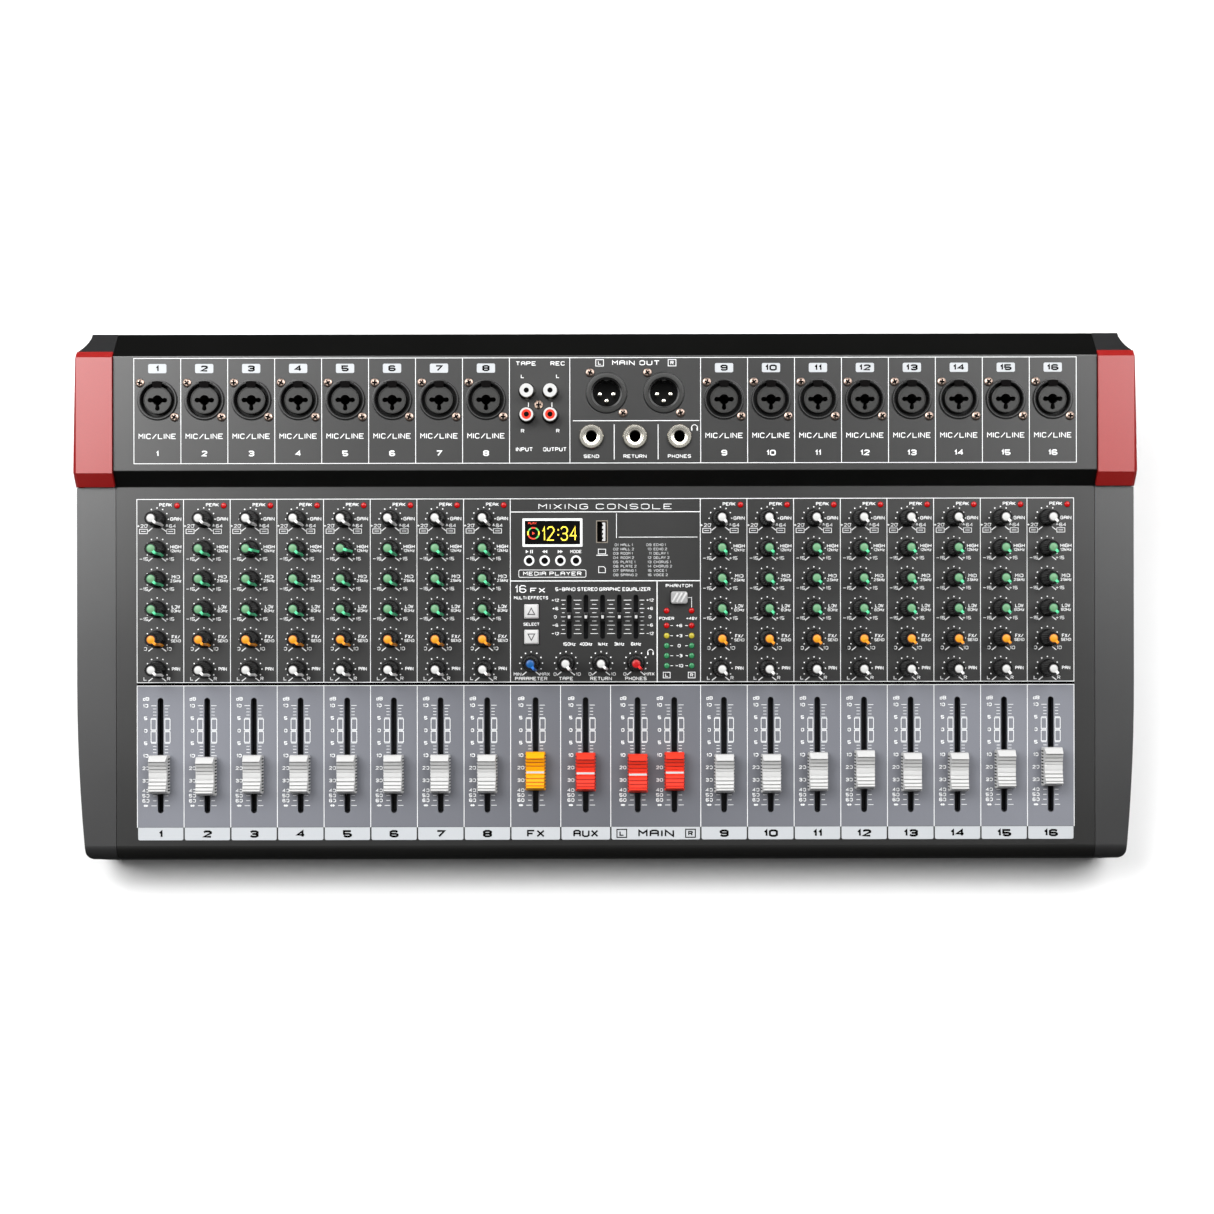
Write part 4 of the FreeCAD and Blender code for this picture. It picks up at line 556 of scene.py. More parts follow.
def select_mesh(up):
    """A square key with sloping sides and the outline of an arrowhead."""
    shape = Shape()
    steps = ((4.1, -4), (4.1, 0.2), (4.4, 0.3), (4.4, 1.0), (3.6, 2.05), (3.4, 2.15))
    corners = ((-1, -1), (1, -1), (1, 1), (-1, 1))
    shape.loft([[(x * r, y * r, w) for x, y in corners] for r, w in steps], "white")
    arrow = [(-2.0, -1.8 * up), (0, 2.0 * up), (2.0, -1.8 * up)]
    shape.stroke(arrow, 0.6, 2.0, 2.19, "ring", closed=True)
    return shape.mesh("select_up" if up > 0 else "select_down", bevel=0.08)


def phantom_mesh():
    """A wide key whose face carries slanting ribs."""
    shape = Shape()
    shape.prism(rounded(0, 0, 9.9, 7.3, 1.3), -4, 4.1, "cream")
    shape.prism(rounded(0, 0, 9.1, 6.5, 1.1), 4.0, 4.4, "cream")
    for i in range(-1, 2):
        u = i * 2.6
        shape.stroke([(u - 1.3, -2.3), (u + 1.3, 2.3)], 1.2, 4.3, 4.5, "white")
    return shape.mesh("phantom_key", bevel=0.12)


def round_button():
    """A small round key with a slightly hollow top."""
    shape = Shape()
    shape.lathe([(0, -4), (1.72, -4), (1.72, 0.9), (1.5, 1.15), (1.1, 1.2), (0, 1.05)], "dark", count=32)
    return shape.mesh("round_button")


def lamp_mesh(colour):
    """A domed lamp in its black collar."""
    shape = Shape()
    shape.lathe([(0, -3), (1.4, -3), (1.4, 0.02), (1.7, 0.02), (1.7, 0.2), (1.5, 0.5), (1.05, 0.72),
                 (0.5, 0.82), (0, 0.85)], f"lamp_{colour}", count=28)
    shape.lathe([(1.72, -0.05), (1.98, -0.05), (1.93, 0.12), (1.72, 0.14)], "black", count=28, closed=True)
    return shape.mesh(f"lamp_{colour}")


lever, button = lever_mesh(), round_button()
for node in joints:
    if node.startswith("eq_"):
        put(f"{node}_lever", lever, place(*middle(node)), node, "slider_black", [node])
PLAYER_KEYS = ("play_button", "previous_button", "next_button", "mode_button")
for node in PLAYER_KEYS:
    put(f"{node}_key", button, place(*middle(node)), node, "button_grey", [node])
for key, mesh in (("effect_up", select_mesh(1)), ("effect_down", select_mesh(-1)),
                  ("phantom", phantom_mesh())):
    node = f"{key}_button"
    put(f"{key}_key", mesh, place(*middle(node)), node, "button_white", [node])

LAMP_SIDE, LAMP_V, STATUS_V = 10.1, 61.5, -2
METER_U, METER_V = (36.7, 51.7), (-10.9, -17, -23, -29, -35)
METER_INKS = ("red", "yellow", "green", "green", "green")
lamps = {colour: lamp_mesh(colour) for colour in ("red", "yellow", "green")}


def put_lamp(name, colour, u, v):
    """Adds a lamp in place of the CAD's plain one."""
    put(name, lamps[colour], place(u, v), slot="lamp_red", stands_for=["indicator_lamps"])


for channel, u in enumerate(STRIPS, start=1):
    put_lamp(f"peak_lamp_{channel:02d}", "red", u + LAMP_SIDE, LAMP_V)
for side, u in zip(("left", "right"), METER_U):
    put_lamp(f"status_lamp_{side}", "red", u, STATUS_V)
    for row, (v, colour) in enumerate(zip(METER_V, METER_INKS), start=1):
        put_lamp(f"meter_lamp_{side}_{row}", colour, u, v)


# ---- connectors


def key_hole(bore=3.0, lobe=1.45, reach=4.4):
    """The combined jack and three-pin opening: a round bore that runs out into three lobes."""
    line = []
    for i in range(96):
        turn = math.tau * i / 96
        radius = bore
        for way, distance in ((math.pi / 2, reach), (math.pi, reach + 0.5), (-math.pi / 2, reach)):
            across = distance * math.sin(turn - way)
            if math.cos(turn - way) > 0 and abs(across) < lobe:
                radius = max(radius, distance * math.cos(turn - way) + math.sqrt(lobe**2 - across**2))
        line.append((radius * math.sin(turn), radius * math.cos(turn)))
    return line


def socket_mesh():
    """A combined microphone and jack socket in its round flange."""
    shape = Shape()
    shape.lathe([(9.9, -20), (12.0, -20), (12.0, 7), (12.15, 7.05), (12.1, 7.5), (11.7, 7.62),
                 (10.35, 7.62), (9.9, 7.1)], "black", count=64, closed=True)
    # A grey arc on the black flange: a painted highlight where its lip catches the light.
    grey = circle(0, 0, 11.3, 49, 29, 302) + circle(0, 0, 10.85, 49, 331, -302)
    shape.prism(grey, 7.5, 7.72, "ring")
    shape.lathe([(0, -20), (8.3, -20), (8.3, -14), (0, -14)], "dark", count=48)
    shape.lathe([(8.25, -20), (9.95, -20), (9.95, 1), (8.25, 1)], "black", count=48, closed=True)
    shape.prism(circle(0, 0, 8.3, 56), -14, 6.95, "insert", [key_hole()])
    shape.lathe([(7.5, 6.9), (8.3, 6.9), (8.3, 6.98), (8.0, 7.2), (7.7, 7.2)], "insert", count=56,
                closed=True)
    latch = circle(0, 0, 11.3, 15, 343, 34) + circle(0, 0, 8.4, 15, 17, -34)
    shape.prism(latch, 3, 7.9, "dark")
    shape.prism(rounded(0, 8.9, 5.4, 2.6, 0.8), 6, 8.2, "dark")
    # Two small lighter marks end the highlight arc beside the latch: painted highlight too.
    for side in (-1, 1):
        shape.box(side * 4.6, 10.5, 0.8, 0.5, 7.4, 7.95, "insert")
    return shape.mesh("combination_socket")


def output_mesh():
    """A three-pin outlet: a deep cup in a grey flange."""
    shape = Shape()
    shape.lathe([(0, -20), (11.9, -20), (11.9, 7), (12.2, 7.05), (12.15, 7.5), (11.7, 7.62), (9.3, 7.62),
                 (9.2, 7.3), (8.75, 7.1), (8.3, 7.0), (8.15, 6.7), (8.15, -9), (0, -9)],
                ["black"] * 5 + ["insert"] + ["black"] * 6, count=64)
    for x, y in ((-4, -0.6), (4, -0.6), (0, -4.6)):
        shape.lathe([(0, -9.2), (1.2, -9.2), (1.2, 4.2), (1.0, 4.8), (0.5, 5), (0, 5)], "silver", x, y, 20)
    shape.prism(rounded(0, 8.1, 2.4, 1.6, 0.3), -6, 6.4, "black")
    return shape.mesh("output_connector")


def jack_mesh():
    """A headphone-size jack with its round nut."""
    shape = Shape()
    shape.lathe([(0, -18), (4.6, -18), (4.6, 7), (7.1, 7), (7.26, 7.2), (7.26, 9.0), (6.8, 9.45),
                 (5.2, 9.6), (4.75, 9.5), (4.6, 9.15), (3.9, 9.15), (3.4, 8.9), (3.25, 8.2), (3.25, -12),
                 (0, -12)],
                ["black"] * 2 + ["silver"] * 9 + ["dark"] * 3, count=56, flutes=28, depth=0.06,
                band=(7.1, 9.1))
    return shape.mesh("jack_nut")


def phono_mesh(colour):
    """A phono socket: a ringed plug seat on a black stem."""
    shape = Shape()
    shape.lathe([(0, 4), (5, 4), (5, 8.2), (4.4, 8.6), (4.1, 8.7), (4.1, 15), (3.9, 15.4), (3.5, 15.5),
                 (0, 15.5)], ["black"] * 4 + ["silver"] * 4, count=40)
    # A white ring over the metal rim: painted reflection of its bright rim, and on the white socket also
    # the white insulator.
    shape.ring(0, 0, 4.0, 1.6, 15.4, 15.62, "white", 36)
    shape.ring(0, 0, 2.9 if colour == "red" else 2.4, 1.55, 15.5, 15.72, colour, 36)
    # A dark disc stands for the plug hole: painted shade, with no hole cut.
    shape.lathe([(0, 15.45), (1.55, 15.45), (1.55, 15.56), (0, 15.56)], "dark", count=24)
    return shape.mesh(f"phono_{colour}")


def screw_mesh():
    """A screw's domed head with a dark cross on it: painted shade standing for the cross recess."""
    shape = Shape()
    shape.lathe([(0, 0.02), (2.65, 0.02), (2.65, 0.45), (2.4, 1.0), (1.7, 1.4), (0.9, 1.58), (0, 1.6)],
                "nickel", count=36)
    # No recess is cut: the dark cross sits in the dome's top as painted shade.
    a, b = 1.5, 0.5
    shape.prism([(-b, a), (b, a), (b, b), (a, b), (a, -b), (b, -b), (b, -a), (-b, -a), (-b, -b), (-a, -b),
                 (-a, b), (-b, b)], 1.2, 1.66, "dark")
    return shape.mesh("screw_head")


SCREW_U, SCREW_V = 10.25, 10.2
OUTPUTS = (0.9, 35.1)
OUTPUT_V, JACK_V, JACKS = 128, 101.9, (-8.2, 17.8, 44.3)
PHONOS_U, PHONOS_V = (-46.6, -32.6), (128.8, 114.6)
socket, screw_head = socket_mesh(), screw_mesh()
screws = []
for channel, u in enumerate(STRIPS, start=1):
    put(f"socket_{channel:02d}", socket, place(u, SOCKET_V), slot="connector_black",
        stands_for=["channel_sockets"])
    screws += [(u + SCREW_U * s, SOCKET_V - SCREW_V * s) for s in (-1, 1)]
outlet, jack = output_mesh(), jack_mesh()
for i, u in enumerate(OUTPUTS, start=1):
    put(f"main_output_{i}", outlet, place(u, OUTPUT_V), slot="contact_silver", stands_for=["main_outputs"])
    screws += [(u + 9.8 * s, OUTPUT_V - 12 * s) for s in (-1, 1)]
for i, u in enumerate(JACKS, start=1):
    put(f"phone_jack_{i}", jack, place(u, JACK_V), slot="jack_nut", stands_for=["phone_jacks"])
for v, colour in zip(PHONOS_V, ("white", "red")):
    phono = phono_mesh(colour)
    for side, u in zip(("left", "right"), PHONOS_U):
        put(f"phono_{colour}_{side}", phono, place(u, v), slot="socket_white", stands_for=["phono_sockets"])
screws.append((sum(PHONOS_U) / 2, sum(PHONOS_V) / 2 - 0.7))
for i, (u, v) in enumerate(screws, start=1):
    put(f"screw_head_{i:02d}", screw_head, place(u, v, RAISED, turn=17 * i % 90), slot="screw_nickel")


# ---- player

WINDOW = (-31.7, 45)
PORT = (-2, 45.5)
LIT_FOOT = 0.24


def display_mesh():
    """The player's window: a white frame round black glass with lit numbers behind its face."""
    shape = Shape()
    u, v = WINDOW
    shape.prism(rounded(u, v, 36, 17, 0.4), SINK, 0.35, "print", [rounded(u, v, 33.2, 14.2, 0.3)])
    shape.prism(rounded(u, v, 33.15, 14.15, 0.3), -6, 0.28, "glass")
    text(shape, "12 34", u + 4.4, v - 0.6, 8.6, "digit", LIT_FOOT, 21, 0.085)
    for step in (-1.4, 1.6):
        shape.box(u + 3.5, v + step, 0.9, 0.9, LIT_FOOT, 0.34, "digit")
    inks = {"r": "digit_red", "g": "digit_green", "y": "digit"}
    for i, ink in enumerate("rgygrryg"):
        shape.stroke(circle(u - 11.4, v - 0.4, 3.3, 4, 45 * i - 14, 28), 0.8, LIT_FOOT, 0.33,
                     inks[ink])
    arrow = [(u - 12.1, v - 1.3), (u - 12.1, v + 0.5), (u - 10.5, v - 0.4)]
    shape.prism(arrow, LIT_FOOT, 0.33, "digit_red")
    text(shape, "PLAY", u - 12, v + 5.6, 1.2, "digit_red", LIT_FOOT, 5)
    return shape.mesh("display")


def port_mesh():
    """A socket for a memory stick: a folded steel shell round a white tongue with four contacts."""
    shape = Shape()
    u, v = PORT
    shape.prism(rounded(u, v, 6.7, 13.2, 0.6), -6, 0.35, "steel", [rounded(u, v, 5.9, 12.4, 0.4)])
    shape.box(u, v, 5.95, 12.45, -6, -4.5, "dark")
    shape.box(u + 1.1, v, 1.9, 11, -4.6, -0.5, "white")
    for i in range(4):
        shape.box(u + 0.35, v + 2.6 * (i - 1.5), 0.8, 1.1, -4, -0.45, "dark")
    shape.outline(u - 3.35, v - 6.6, u + 3.35, v + 6.6, 0.4, SINK, 0.2, "silver")
    return shape.mesh("port")


put("display_window", display_mesh(), place(0, 0), slot="window_black", stands_for=["player_module"])
put("memory_port", port_mesh(), place(0, 0), slot="window_black", stands_for=["player_module"])


# ---- printing

# Line widths, the usual letter height, and the tops of the painted grounds and the labels
LINE, THIN, SMALL, GROUND, LABEL = 0.41, 0.35, 2.1, 0.03, 0.05
SCALE = [("10", 0), ("5", -7.5), ("0", -15), ("5", -22.5), ("10", -30), ("20", -37.5), ("30", -45),
         ("40", -51), ("50", -54), ("60", -57), ("@", -60)]
SCALE_TOP = -58.5
FOOT_V, FOOT_GAP = -135.5, 0.9
GROUP_SLOTS = [middle(f"{name}_fader")[0] for name in ("effects", "media", "main_left", "main_right")]
GROUPS = ((-42, 30, GROUP_SLOTS[:1]), (-12, 30, GROUP_SLOTS[1:2]), (30, 54, GROUP_SLOTS[2:]))


def dial(shape, u, v):
    """The dots and end marks round a knob."""
    for x, y in circle(u, v, 6.8, 9, -120, 240):
        shape.prism(circle(x, y, 0.42, 10))
    for side in (-1, 1):
        shape.stroke([(u + side * 3.0, v - 5.4), (u + side * 5.1, v - 7.05)], 0.6)


def field(shape, u, width, slots):
    """The painted ground under faders, cut away round their slots."""
    left, right = u - width / 2, u + width / 2
    holes = [rounded(s, SLOT_V, SLOT_WIDTH, SLOT_LENGTH + 0.4, SLOT_WIDTH / 2 - 0.01) for s in slots]
    ground = [(left, FIELD_FOOT), (right, FIELD_FOOT), (right, FIELD_TOP), (left, FIELD_TOP)]
    shape.prism(ground, SINK, GROUND, "field", holes)


def fader_scale(shape, u):
    """The marks beside a fader's slot, with their numbers on its left."""
    text(shape, "dB", u - 8.6, SCALE_TOP + 4.1, SMALL, w=GROUND)
    for i, (number, drop) in enumerate(SCALE):
        v = SCALE_TOP + drop
        text(shape, number, u - 8.9, v, 2.8 if number == "@" else SMALL, w=GROUND, weight=0.2)
        end = 4.6 if number in ("40", "50", "60") else 5.6
        for side in (-1, 1):
            shape.box(u + side * (2.4 + end) / 2, v, end - 2.4, 0.32, SINK, OVER)
        if i + 1 == len(SCALE) or drop <= -45:
            continue
        fall = v - SCALE_TOP - SCALE[i + 1][1]
        if drop in (-7.5, -15):
            for side in (-1, 1):
                x = u + side * 4.15
                shape.outline(x - 1.55, v - fall + 0.6, x + 1.55, v - 0.6, THIN, SINK, 0.09)
            continue
        for part in (1, 2, 3):
            for side in (-1, 1):
                shape.box(u + side * 3.5, v - fall * part / 4, 2, 0.26, SINK, OVER)


def foot_label(shape, u, width):
    """The light strip under a fader."""
    shape.prism(rounded(u, FOOT_V + 0.1, width, 7.6, 1.0, foot_only=True), SINK, LABEL, "label")


def strip_mesh():
    """What is printed on one channel strip."""
    shape = Shape()
    fader_scale(shape, 0)
    foot_label(shape, 0, STRIP - FOOT_GAP)
    text(shape, "PEAK", LAMP_SIDE - 6.8, LAMP_V + 0.5, 2, width=7.7)
    names = [("GAIN", ""), ("HIGH", "12kHz"), ("MID", "2.5kHz"), ("LOW", "80Hz"), ("FX/", "SEND"),
             ("PAN", "")]
    band = ("-15", 8.0, "+15", 7.6, -5.9)
    ends = [("+20", 9.0, "-64", 8.2, -4.1), band, band, band, ("0", 7.1, "10", 7.1, -5.8),
            ("L", 7.3, "R", 6.8, -5.7)]
    for i, ((name, lower), (low, left, high, right, fall)) in enumerate(zip(names, ends)):
        u, v = KNOB_SIDE, KNOB_V - KNOB_PITCH * i
        dial(shape, u, v)
        text(shape, name, u + 11.2, v + (1.4 if lower else 0.1), SMALL, width=1.72 * len(name) - 0.2)
        if lower:
            text(shape, lower, u + 11.2, v - 1.0, 1.8, width=min(6.6, 1.5 * len(lower)))
        text(shape, low, u - left, v + fall, SMALL)
        text(shape, high, u + right, v + fall, SMALL)
    for side in (-1, 1):
        u, v = KNOB_SIDE + side * 8.2, KNOB_V - 7.3
        shape.outline(u - 2.4, v - 1.3, u + 2.4, v + 1.3, 0.4)
        shape.stroke([(u - 1.2, v), (u + 1.2, v)], 0.4)
    return shape.mesh("strip_print")


def raised_strip_mesh():
    """What is printed round one channel's socket."""
    shape = Shape()
    shape.prism(rounded(0, BADGE_V, 10.9, 5.5, 0.9), RAISED + SINK, RAISED + INK, "label")
    text(shape, "MIC/LINE", 0, 102.5, 3.2, w=RAISED, width=22.4, weight=0.15)
    return shape.mesh("socket_print")


def number_mesh(channel):
    """A channel's number on its badge, under its socket and at its fader's foot."""
    shape = Shape()
    digits = str(channel)
    text(shape, digits, 0, BADGE_V, 3.6, "dark", RAISED + INK, weight=0.25, spread=0.24)
    text(shape, digits, 0, 92.2, 3.4, "print", RAISED, weight=0.22, spread=0.2)
    text(shape, digits, 0, FOOT_V, 4.4, "dark", LABEL, weight=0.27, spread=0.24)
    return shape.mesh(f"number_{channel:02d}")


def frame_mesh():
    """The lines that part the strips and sections of both panels."""
    shape = Shape()
    low, high = RAISED + SINK, RAISED + INK
    walls = [-FRAME_U + STRIP * i for i in range(9)] + [CENTRE_U + STRIP * i for i in range(9)]
    for u in walls:
        shape.stroke([(u, PANEL_TOP), (u, KNOB_FOOT)], LINE)
        shape.stroke([(u, FIELD_TOP), (u, FIELD_FOOT)], LINE)
        shape.stroke([(u, RAISED_FOOT), (u, RAISED_TOP)], LINE, low, high)
    for v, w in ((PANEL_TOP, 0), (KNOB_FOOT, 0), (FIELD_TOP, 0), (RAISED_TOP, RAISED),
                 (RAISED_FOOT, RAISED)):
        shape.box(0, v, 2 * FRAME_U, LINE, w + SINK, w + INK + 0.01)
    shape.box(0, (KNOB_FOOT + FIELD_TOP) / 2, 2 * FRAME_U, KNOB_FOOT - FIELD_TOP - LINE, SINK, 0.035,
              "dark")
    shape.stroke([(-21, RAISED_FOOT), (-21, RAISED_TOP)], LINE, low, high)
    for u in (-27, 3):
        shape.stroke([(u, FIELD_TOP), (u, FIELD_FOOT)], LINE)
    return shape.mesh("panel_frame_print")


def centre_field_mesh():
    """The marks and labels of the group and main faders."""
    shape = Shape()
    for u in GROUP_SLOTS:
        fader_scale(shape, u)
    for u, width, _ in GROUPS:
        foot_label(shape, u, width - FOOT_GAP)
    for name, u, width in (("FX", -42, 10.5), ("AUX", -12, 15), ("MAIN", 30.2, 21.5)):
        text(shape, name, u, FOOT_V, 4.4, "dark", LABEL, width, 0.22)
    for u, side in ((GROUP_SLOTS[2] - 9.6, "L"), (GROUP_SLOTS[3] + 9.6, "R")):
        shape.outline(u - 2.9, FOOT_V - 2.4, u + 2.9, FOOT_V + 2.4, 0.6, 0, 0.12, "dark")
        text(shape, side, u, FOOT_V, 2.9, "dark", LABEL, weight=0.24)
    return shape.mesh("centre_field_print")


def ground_mesh():
    """The painted grounds under all the faders."""
    shape = Shape()
    for u in STRIPS:
        field(shape, u, STRIP, [u])
    for u, width, slots in GROUPS:
        field(shape, u, width, slots)
    return shape.mesh("fader_ground")


def arrowheads(shape, u, v, facing, count):
    """Small filled triangles, such as the signs over transport keys."""
    for i in range(count):
        x = u + facing * 1.5 * (i - (count - 1) / 2)
        shape.prism([(x - 0.8 * facing, v - 1), (x - 0.8 * facing, v + 1), (x + 0.8 * facing, v)])


def player_print(shape):
    """The title, and the signs round the player's window, keys and port."""
    text(shape, "MIXING CONSOLE", 0, 60.6, 3.2, width=80, weight=0.12)
    shape.box(0, 57.4, 2 * CENTRE_U, 0.5)
    shape.box(0, 16, 2 * CENTRE_U, 0.6)
    shape.stroke([(31, 16), (31, KNOB_FOOT)], 0.6)
    keys = [middle(node) for node in PLAYER_KEYS]
    for u, v in keys:
        shape.ring(u, v, 3.1, 1.95)
    (play, above), (back, _), (ahead, _), (mode, _) = keys
    above += 5.4
    arrowheads(shape, play - 1.2, above, 1, 1)
    shape.box(play + 0.9, above, 0.5, 2)
    shape.box(play + 1.9, above, 0.5, 2)
    arrowheads(shape, back, above, -1, 2)
    arrowheads(shape, ahead, above, 1, 2)
    text(shape, "MODE", mode, above, 1.9, width=6.8)
    label = rounded(-31.8, 20.4, 40.3, 4.4, 0.9)
    shape.stroke(label, THIN, closed=True)
    text(shape, "MEDIA PLAYER", -31.8, 20.4, 2.3, width=35)
    shape.stroke([(6.7, 41.8), (6.7, 56.3)], THIN)
    shape.stroke([(8.2, 42.2), (55.1, 42.2)], THIN)
    shape.outline(-4.2, 32.2, 0.2, 35, THIN)
    shape.stroke([(-5.2, 31.4), (1.2, 31.4)], 0.45)
    shape.stroke([(-4, 20.9), (-4, 24.5), (-1, 24.5), (0, 23.5), (0, 20.9)], THIN, closed=True)


EFFECTS = (("HALL", "ECHO"), ("ROOM", "DELAY"), ("PLATE", "CHORUS"), ("SPRING", "VOICE"))


def effects_print(shape):
    """The list of effects, and the names and end marks of the master knobs."""
    for row in range(8):
        for column, (name, u) in enumerate(zip(EFFECTS[row // 2], (8.9, 28.7))):
            v = 37.6 - 2.58 * row
            text(shape, f"{row + 1 + 8 * column:02d}", u - 1.2, v, 1.6, "faint", anchor=1, weight=0.2)
            text(shape, f"{name} {row % 2 + 1}", u + 0.4, v, 1.6, "faint", anchor=0, weight=0.2,
                 spread=0.16)
    text(shape, "16", -50.8, 11.2, 4.6, width=6.6, weight=0.13)
    text(shape, "FX", -40.6, 10.4, 3.0, width=9)
    text(shape, "MULTI EFFECTS", -44.6, 5.9, 1.9, width=20.5)
    u, upper = middle("effect_up_button")
    lower = middle("effect_down_button")[1]
    text(shape, "SELECT", u, (upper + lower) / 2, 1.8, width=9.6)
    dials = (("parameter", "MIN", "MAX"), ("tape", "0", "10"), ("return", "0", "10"),
             ("phones", "0", "MAX"))
    for knob, low, high in dials:
        u, v, _ = knob_place(f"{knob}_knob")
        dial(shape, u, v)
        text(shape, low, u - 6.6 - 0.8 * (len(low) - 1), v - 6.6, 2.0)
        text(shape, high, u + 6.6 + 0.8 * (len(high) - 1), v - 6.6, 2.0)
        text(shape, knob.upper(), u, v - 9.3, SMALL, width=2.15 * len(knob))
    headphones(shape, 27, -26.9, 1.7, 0)


def equaliser_print(shape):
    """The equaliser's bands and their levels."""
    names = ("150Hz", "400Hz", "1kHz", "3kHz", "6kHz")
    bands = [middle(f"eq_{name.lower()}_slider") for name in names]
    v = bands[0][1]
    text(shape, "5-BAND STEREO GRAPHIC EQUALIZER", -1.5, 11, 2.2, width=57)
    for (u, _), name in zip(bands, names):
        text(shape, name, u, v - 16.3, 2.0, width=1.5 * len(name))
    gaps = [u + 5 for u, _ in bands[:-1]]
    for level in range(-4, 5):
        wide = 4.6 if level % 2 == 0 else 2.6
        for u in gaps:
            shape.box(u, v + 2.5 * level, wide, 0.33)
        for u, side in ((bands[0][0], -1), (bands[-1][0], 1)):
            shape.box(u + side * 3.6, v + 2.5 * level, wide * 0.6, 0.33)
    for level, name in ((4, "+12"), (2, "+6"), (0, "0"), (-2, "-6"), (-4, "-12")):
        for u in (bands[0][0] - 8.4, bands[-1][0] + 8.4):
            text(shape, name, u, v + 2.5 * level, 1.8)


def meter_print(shape):
    """What is printed beside the phantom key and the level meters."""
    u, v = middle("phantom_button")
    text(shape, "PHANTOM", u, v + 7.1, 2, width=16)
    shape.stroke([(u + 5.4, v), (METER_U[1], v), (METER_U[1], 0.2)], THIN)
    text(shape, "POWER", METER_U[0], -6.6, 1.8, width=9)
    text(shape, "+48V", METER_U[1], -6.6, 1.8, width=6.6)
    for v, name in zip(METER_V, ("+6", "+3", "0", "-3", "-10")):
        text(shape, name, sum(METER_U) / 2, v, 1.9)
        for u, side in ((METER_U[0], 1), (METER_U[1], -1)):
            shape.box(u + side * 3, v, 1.6, 0.3)
    for u, side in zip(METER_U, "LR"):
        shape.outline(u - 2.05, -42.3, u + 2.05, -38.9, THIN)
        text(shape, side, u, -40.6, 1.9)


def output_print(shape):
    """What is printed round the raised panel's own connectors."""
    low, high = RAISED + SINK, RAISED + INK
    text(shape, "TAPE", PHONOS_U[0] - 0.6, 145.6, 2.5, w=RAISED, width=12.1)
    text(shape, "REC", PHONOS_U[1] + 4.4, 145.6, 2.5, w=RAISED, width=8.6)
    for u, side in zip(PHONOS_U, (-2.6, 4.4)):
        text(shape, "L", u + side, 138, 2.2, w=RAISED)
        text(shape, "R", u + side, 105.4, 2.2, w=RAISED)
    text(shape, "INPUT", PHONOS_U[0] - 1.6, 94.4, 2.4, w=RAISED, width=10)
    text(shape, "OUTPUT", PHONOS_U[1] + 2.6, 94.4, 2.4, w=RAISED, width=14)
    for u in PHONOS_U:
        shape.stroke([(u + 0.9, 119.3), (u + 0.9, 122.1)], 0.5, low, high)
    text(shape, "MAIN OUT", 18.4, 145.9, 2.9, w=RAISED, width=28.3)
    for u, name in ((-3.2, "L"), (40, "R")):
        shape.outline(u - 2.3, 144, u + 2.3, 147.8, 0.4, low, high)
        text(shape, name, u, 145.9, SMALL, w=RAISED)
    shape.stroke([(-19, 111.4), (56, 111.4)], 0.45, low, high)
    for u in (5.4, 31.6):
        shape.stroke([(u, 88.5), (u, 109)], 0.45, low, high)
    for u, name in zip(JACKS, ("SEND", "RETURN", "PHONES")):
        text(shape, name, u, 90.2, SMALL, w=RAISED, width=2.3 * len(name))
    headphones(shape, 53.3, 107.1, 1.8, RAISED)


def put_print(name, mesh, u=0):
    """Adds print on the panel, moved along it by u."""
    put(name, mesh, place(u, 0), slot="case_black")


strip, raised_strip = strip_mesh(), raised_strip_mesh()
for channel, u in enumerate(STRIPS, start=1):
    put_print(f"strip_print_{channel:02d}", strip, u)
    put_print(f"socket_print_{channel:02d}", raised_strip, u)
    put_print(f"number_print_{channel:02d}", number_mesh(channel), u)
put_print("panel_frame_print", frame_mesh())
put_print("centre_field_print", centre_field_mesh())
put_print("fader_ground", ground_mesh())
for name, draw in (("player_print", player_print), ("effects_print", effects_print),
                   ("equaliser_print", equaliser_print), ("meter_print", meter_print),
                   ("output_print", output_print)):
    shape = Shape()
    draw(shape)
    put_print(name, shape.mesh(name))


# ---- CAD nodes that stay

KEPT = {"top_panel": "case", "base_tray": "tray", "left_cheek": "cheek", "right_cheek": "cheek",
        "accent_trims": "trim", "rubber_feet": "rubber", "screws": "nickel", "potentiometers": "device",
        "circuit_boards": "board", "power_inlet": "black", "power_rocker": "black"}
for node, name in KEPT.items():
    for material_slot in frame["nodes"][node].material_slots:
        material_slot.link = "DATA"
        material_slot.material = finish(name)
    mesh = frame["nodes"][node].data
    if "custom_normal" in mesh.attributes:
        mesh.attributes.remove(mesh.attributes["custom_normal"])
    mesh.shade_smooth()
    mesh.set_sharp_from_angle(angle=math.radians(24))

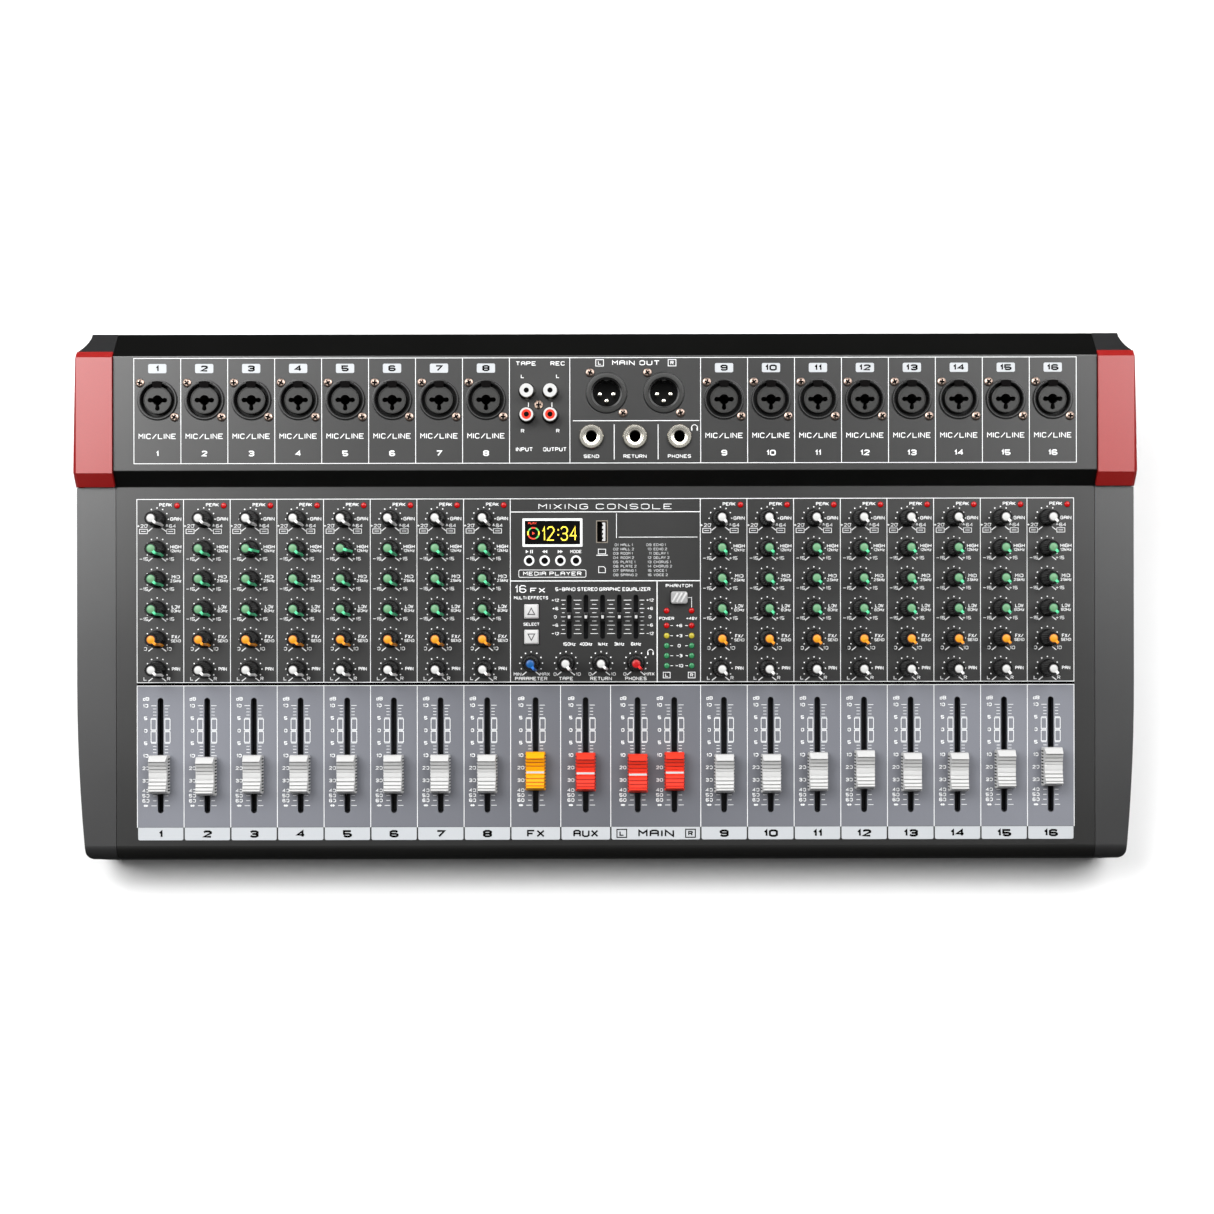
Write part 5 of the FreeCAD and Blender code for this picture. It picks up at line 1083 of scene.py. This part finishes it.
# The step and the rear bevel lean, and get painted shade: a darker, duller copy of the case's paint.
STEEP, STEP_FOOT = 0.35, 60
top = frame["nodes"]["top_panel"].data
top.materials.append(finish("fold"))
inverse = PANEL.inverted()
for face in top.polygons:
    lean, v = (inverse.to_3x3() @ face.normal).y, (inverse @ face.center).y
    if abs(lean) > STEEP and v > STEP_FOOT * MM:
        face.material_index = len(top.materials) - 1


# ---- floor, light and camera


def add_floor(size=6):
    mesh = bpy.data.meshes.new("floor")
    corners = [(-size, -size, 0), (size, -size, 0), (size, size, 0), (-size, size, 0)]
    mesh.from_pydata(corners, [], [(0, 1, 2, 3)])
    mesh.materials.append(shade("floor", [0.97] * 3, rough=0.8, vary=0.01, grain=40, bump=0.0))
    floor = add_object("floor", mesh)
    floor.visible_glossy = False


def add_light(name, where, aim, width, height, power):
    """An area light: places and sizes in metres, power in watts."""
    light = bpy.data.lights.new(name, "AREA")
    light.shape = "RECTANGLE"
    light.size, light.size_y = width, height
    light.energy = power
    lamp = add_object(name, light)
    lamp.location = where
    lamp.rotation_euler = (Vector(aim) - Vector(where)).to_track_quat("-Z", "Y").to_euler()


def add_camera(spot=(0.95, 0.3, 1173), turn=0.1, lens=57.98):
    """A camera square to the control panel, with a long lens."""
    camera = add_object("camera", bpy.data.cameras.new("camera"))
    camera.matrix_world = place(*spot, turn=turn)
    camera.data.sensor_width = 36
    camera.data.lens = lens
    bpy.context.scene.camera = camera


add_floor()
add_light("rear_left", (-0.98, 0.54, 1.5), (-0.2, 0.0, 0.05), 1.3, 1.1, 36)
add_light("rear_right", (1.02, 0.58, 1.5), (0.2, 0.0, 0.05), 1.35, 1.1, 28)
add_light("rear_middle", (0, 0.76, 1.5), (0, 0.0, 0.05), 1.3, 0.7, 8)
add_light("overhead", (0, 0.1, 2.6), (0, 0, 0.05), 3.6, 3.0, 9)
world = bpy.data.worlds.new("studio")
world.use_nodes = True
sky = world.node_tree.nodes["Background"].inputs
sky["Color"].default_value = (1, 1, 1, 1)
sky["Strength"].default_value = 0.035
bpy.context.scene.world = world
bpy.context.scene.view_settings.view_transform = "Standard"
add_camera()
